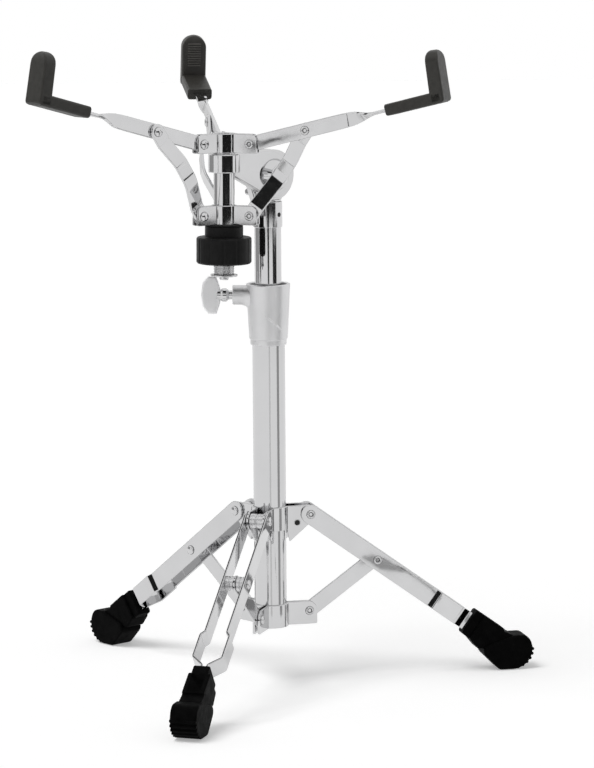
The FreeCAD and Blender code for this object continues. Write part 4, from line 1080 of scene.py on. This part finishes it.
def tip_upright():
    rings = []
    for z in UPRIGHT_STATIONS:
        thick = TIP_THICKNESS - TIP_TAPER * (z - TIP_BOTTOM) / (TIP_HEIGHT - TIP_BOTTOM)
        arch = max(0.0, (z - (TIP_HEIGHT - TIP_ARCH)) / TIP_ARCH)
        half_w = TIP_HALF * sqrt(max(1 - arch ** 2, TIP_TOP_SHARE))
        dome = max(0.0, (z - (TIP_HEIGHT - TIP_DOME)) / TIP_DOME)
        heel = min(max(0.0, TIP_BOTTOM + TIP_HEEL - z) / TIP_HEEL, 1.0)
        drawn = TIP_DOME_DEPTH * round_share(dome) + TIP_HEEL * round_share(heel)
        front, back = drawn - TIP_THICKNESS, thick - drawn - TIP_THICKNESS
        rim = box_ring(front, back, -half_w, half_w, TIP_ROUND, steps=4)
        rings.append([(n, w, z) for n, w in rim])
    return loft(rings)


def tip_ribs():
    ribs = []
    for k in range(RIB_COUNT):
        z = TIP_HEIGHT * (RIB_START_SHARE + RIB_PITCH_SHARE * k) + RIB_HALF
        section = box_ring(-RIB_ROOT, RIB_LIFT, -RIB_HALF, RIB_HALF, RIB_ROUND)
        rings = []
        for y, lift in RIB_STATIONS:
            rings.append([(-TIP_THICKNESS - n * lift, y, z + w) for n, w in section])
        ribs.append(loft(rings))
    return join(*ribs)


def build_tip(name, azimuth):
    body = name + "_arm"
    shape = place(tip_ribs(), on_arm(azimuth) @ TIP_PLACE)
    piece(name + "_tip_ribs", shape, PALE_RIB_RUBBER, body)
    shape = place(join(tip_sole(), place(tip_upright(), TIP_PLACE)), on_arm(azimuth))
    piece(name + "_rubber_tip", shape, RUBBER, body, [name + "_tip"], sharp=60)


build_tubes()
build_collars()
for limb_name, limb_azimuth in LEGS.items():
    build_brace(limb_name, limb_azimuth)
    build_leg(limb_name, limb_azimuth)
    build_foot(limb_name, limb_azimuth)
build_clamp()
build_wing_screws()
build_cap()
build_tilter()
build_post()
build_nut()
build_hub("top", TOP_HUB, TOP_HUB_WRAP, TOP_HUB_OFFSET, "basket")
build_hub("lower", LOW_HUB, LOW_HUB_WRAP, LOW_HUB_OFFSET, "lower_hub")
for limb_name, limb_azimuth in ARMS.items():
    build_arm(limb_name, limb_azimuth)
    build_link(limb_name, limb_azimuth)
    build_tip(limb_name, limb_azimuth)

# Pieces that stay as imported from model.glb
STAY = {"tube_plug": PLASTIC, "clamp_bush": NYLON, "height_glide": NYLON, "collar_lock_block": CAST,
        "nut_washer": PLASTIC}
for node_name, kept in STAY.items():
    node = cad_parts[node_name]
    node.data.materials.clear()
    node.data.materials.append(kept)
    for polygon in node.data.polygons:
        polygon.material_index = 0

# Camera at the photograph's place; distances in metres, the focal length in pixels
CAMERA_DISTANCE = 3.230
CAMERA_HEIGHT = 0.750
CAMERA_PITCH = 8.50
CAMERA_YAW = -0.44
CAMERA_ROLL = -0.40
CAMERA_RANGE = 50.0
FOCAL = 3700.0
PHOTO_WIDTH = 594.0
SENSOR = 36.0


def build_camera():
    data = bpy.data.cameras.new("camera")
    data.sensor_fit = "HORIZONTAL"
    data.sensor_width = SENSOR
    data.lens = SENSOR * FOCAL / PHOTO_WIDTH
    data.clip_end = CAMERA_RANGE
    camera = put("camera", data)
    tilt = Matrix.Rotation(radians(90.0 - CAMERA_PITCH), 4, "X")
    spot = shift(0, -CAMERA_DISTANCE, CAMERA_HEIGHT)
    camera.matrix_world = spot @ spin(CAMERA_YAW) @ tilt @ spin(CAMERA_ROLL)
    bpy.context.scene.camera = camera


# Stage in metres: a white floor that keeps a soft shadow, white surroundings, and cards seen only by gloss
FLOOR = [(-8.0, -8.0), (8.0, -8.0), (8.0, 8.0), (-8.0, 8.0)]
FLOOR_HEIGHT = -0.0005
AMBIENT = 0.35
SKY_ENERGY = 1.75
SKY_ANGLE = 32.0
SKY_DIRECTION = (0.45, 0.3, -1.0)


def background_rays(tree):
    # 1 for the rays that show a background: from the camera, off gloss and through glass
    rays = tree.nodes.new("ShaderNodeLightPath").outputs
    shown = rays["Is Camera Ray"]
    for kind in ("Is Glossy Ray", "Is Transmission Ray"):
        shown = add(tree, "Math", {0: shown, 1: rays[kind]})
        shown.operation = "MAXIMUM"
    return shown


def stage_material(name, glow, albedo):
    made = bpy.data.materials.new(name)
    made.use_nodes = True
    tree = made.node_tree
    tree.nodes.clear()
    matte = add(tree, "BsdfDiffuse", {"Color": (albedo, albedo, albedo, 1)})
    scale = add(tree, "Math", {0: background_rays(tree), 1: glow})
    scale.operation = "MULTIPLY"
    light = add(tree, "Emission", {"Strength": scale})
    both = add(tree, "AddShader", {0: matte, 1: light})
    add(tree, "OutputMaterial", {"Surface": both})
    return made


def sheet(name, corners, made):
    mesh = bpy.data.meshes.new(name)
    mesh.from_pydata(corners, [], [list(range(len(corners)))])
    mesh.materials.append(made)
    flat = put(name, mesh)
    return flat


def card(name, corners, made):
    flat = sheet(name, corners, made)
    flat.visible_camera = False
    flat.visible_diffuse = False
    flat.visible_shadow = False
    flat.visible_transmission = False


def build_floor():
    corners = [(x, y, FLOOR_HEIGHT) for x, y in FLOOR]
    sheet("floor", corners, stage_material("floor_white", glow=0.335, albedo=0.8))


def build_light():
    world = bpy.data.worlds.new("studio")
    bpy.context.scene.world = world
    world.use_nodes = True
    tree = world.node_tree
    tree.nodes.clear()
    dim, full = [add(tree, "Background", {"Color": (1, 1, 1, 1), "Strength": strength})
                 for strength in (AMBIENT, 1.0)]
    mix = add(tree, "MixShader", {"Fac": background_rays(tree), 1: dim, 2: full})
    add(tree, "OutputWorld", {"Surface": mix})
    data = bpy.data.lights.new("sky", "SUN")
    data.energy = SKY_ENERGY
    data.angle = radians(SKY_ANGLE)
    sky = put("sky", data)
    sky.rotation_euler = Vector(SKY_DIRECTION).to_track_quat("-Z", "Y").to_euler()
    sky.visible_glossy = False


# Cards by azimuth: 0 is to the viewer's right, 270 is the viewer's side
CARD_DARK = stage_material("card_dark", glow=0.012, albedo=0.01)
CARD_GREY = stage_material("card_grey", glow=0.35, albedo=0.05)
CARD_PALE = stage_material("card_pale", glow=0.72, albedo=0.05)
CARD_STEP = 8.0
CARD_HEIGHT = 0.001
LINE_HEIGHT = 0.0015

# Upright walls: first and last azimuth, distance, bottom and top
WALLS = {
    "wall_viewer": (255, 336, 3.95, 0.0, 1.0, CARD_DARK),
    "wall_high_left": (216, 262, 3.0, 1.35, 2.5, CARD_DARK),
    "card_seat": (223, 234, 3.0, 0.085, 0.155, CARD_DARK),
    "card_left": (197, 209, 3.0, 0.0, 0.10, CARD_DARK),
    "wall_left": (140, 190, 2.6, 0.0, 1.2, CARD_GREY),
    "wall_back": (65, 115, 4.4, 0.0, 2.4, CARD_PALE),
}
# Wedges on the floor: distance, first and last azimuth of the near side, and the same of the far side
WEDGES = {
    "gap_right_low": (0.30, 329, 346, 2.85, 328, 347, CARD_GREY),
    "gap_right_high": (2.85, 312, 349, 3.95, 311, 350, CARD_DARK),
    "gap_middle_low": (0.30, 270, 281, 2.85, 270, 280, CARD_PALE),
    "gap_middle_high": (2.85, 268, 281, 3.95, 267, 281, CARD_DARK),
    "gap_back": (0.10, 65, 115, 4.4, 65, 115, CARD_PALE),
}
# A dark card over the stand, the streak on the right arm, and the patch and line on the right leg
ABOVE = [(-1.25, 0.05), (-0.45, 0.05), (-0.45, 0.85), (-1.25, 0.85)]
ABOVE_HEIGHT = 3.0
STREAK_DISTANCE = 3.0
STREAK = [(228.35, 0.25), (229.1, 0.286), (229.85, 0.307), (229.85, 0.3145), (228.35, 0.3155)]
PATCH = [(0.310, -0.479), (0.337, -0.503), (0.330, -0.411), (0.300, -0.413)]
LINE_START = Vector((0.339, -0.485))
LINE_BEND = Vector((0.326, -0.303))
LINE_END = Vector((0.287, -0.2625))
LINE_STEPS = 8
LINE_HALF = 0.0022
LINE_TAPER = 0.00015


def around(distance, azimuth, z):
    return polar(distance, radians(azimuth), z)


def build_wall(name, first, last, distance, low, high, made):
    steps = max(1, int((last - first) / CARD_STEP))
    for k in range(steps):
        start, end = [first + (last - first) * step / steps for step in (k, k + 1)]
        corners = [around(distance, start, low), around(distance, end, low), around(distance, end, high),
                   around(distance, start, high)]
        card(name + "_" + str(k), corners, made)


def build_wedge(name, near, near_first, near_last, far, far_first, far_last, made):
    corners = [around(near, near_first, CARD_HEIGHT), around(far, far_first, CARD_HEIGHT),
               around(far, far_last, CARD_HEIGHT), around(near, near_last, CARD_HEIGHT)]
    card(name, corners, made)


def build_line():
    shares = [k / LINE_STEPS for k in range(LINE_STEPS + 1)]
    bow = [LINE_START * (1 - t) ** 2 + LINE_BEND * 2 * t * (1 - t) + LINE_END * t ** 2 for t in shares]
    for k, (start, end) in enumerate(zip(bow, bow[1:])):
        across = Vector((start.y - end.y, end.x - start.x)).normalized() * (LINE_HALF - LINE_TAPER * k)
        corners = [start + across, start - across, end - across, end + across]
        card("floor_line_" + str(k), [(x, y, LINE_HEIGHT) for x, y in corners], CARD_DARK)


def build_cards():
    for name, sizes in WALLS.items():
        build_wall(name, *sizes)
    for name, sizes in WEDGES.items():
        build_wedge(name, *sizes)
    card("card_above", [(x, y, ABOVE_HEIGHT) for x, y in ABOVE], CARD_DARK)
    card("card_arm", [around(STREAK_DISTANCE, azimuth, z) for azimuth, z in STREAK], CARD_DARK)
    card("floor_patch", [(x, y, CARD_HEIGHT) for x, y in PATCH], CARD_GREY)
    build_line()


build_camera()
build_floor()
build_light()
build_cards()
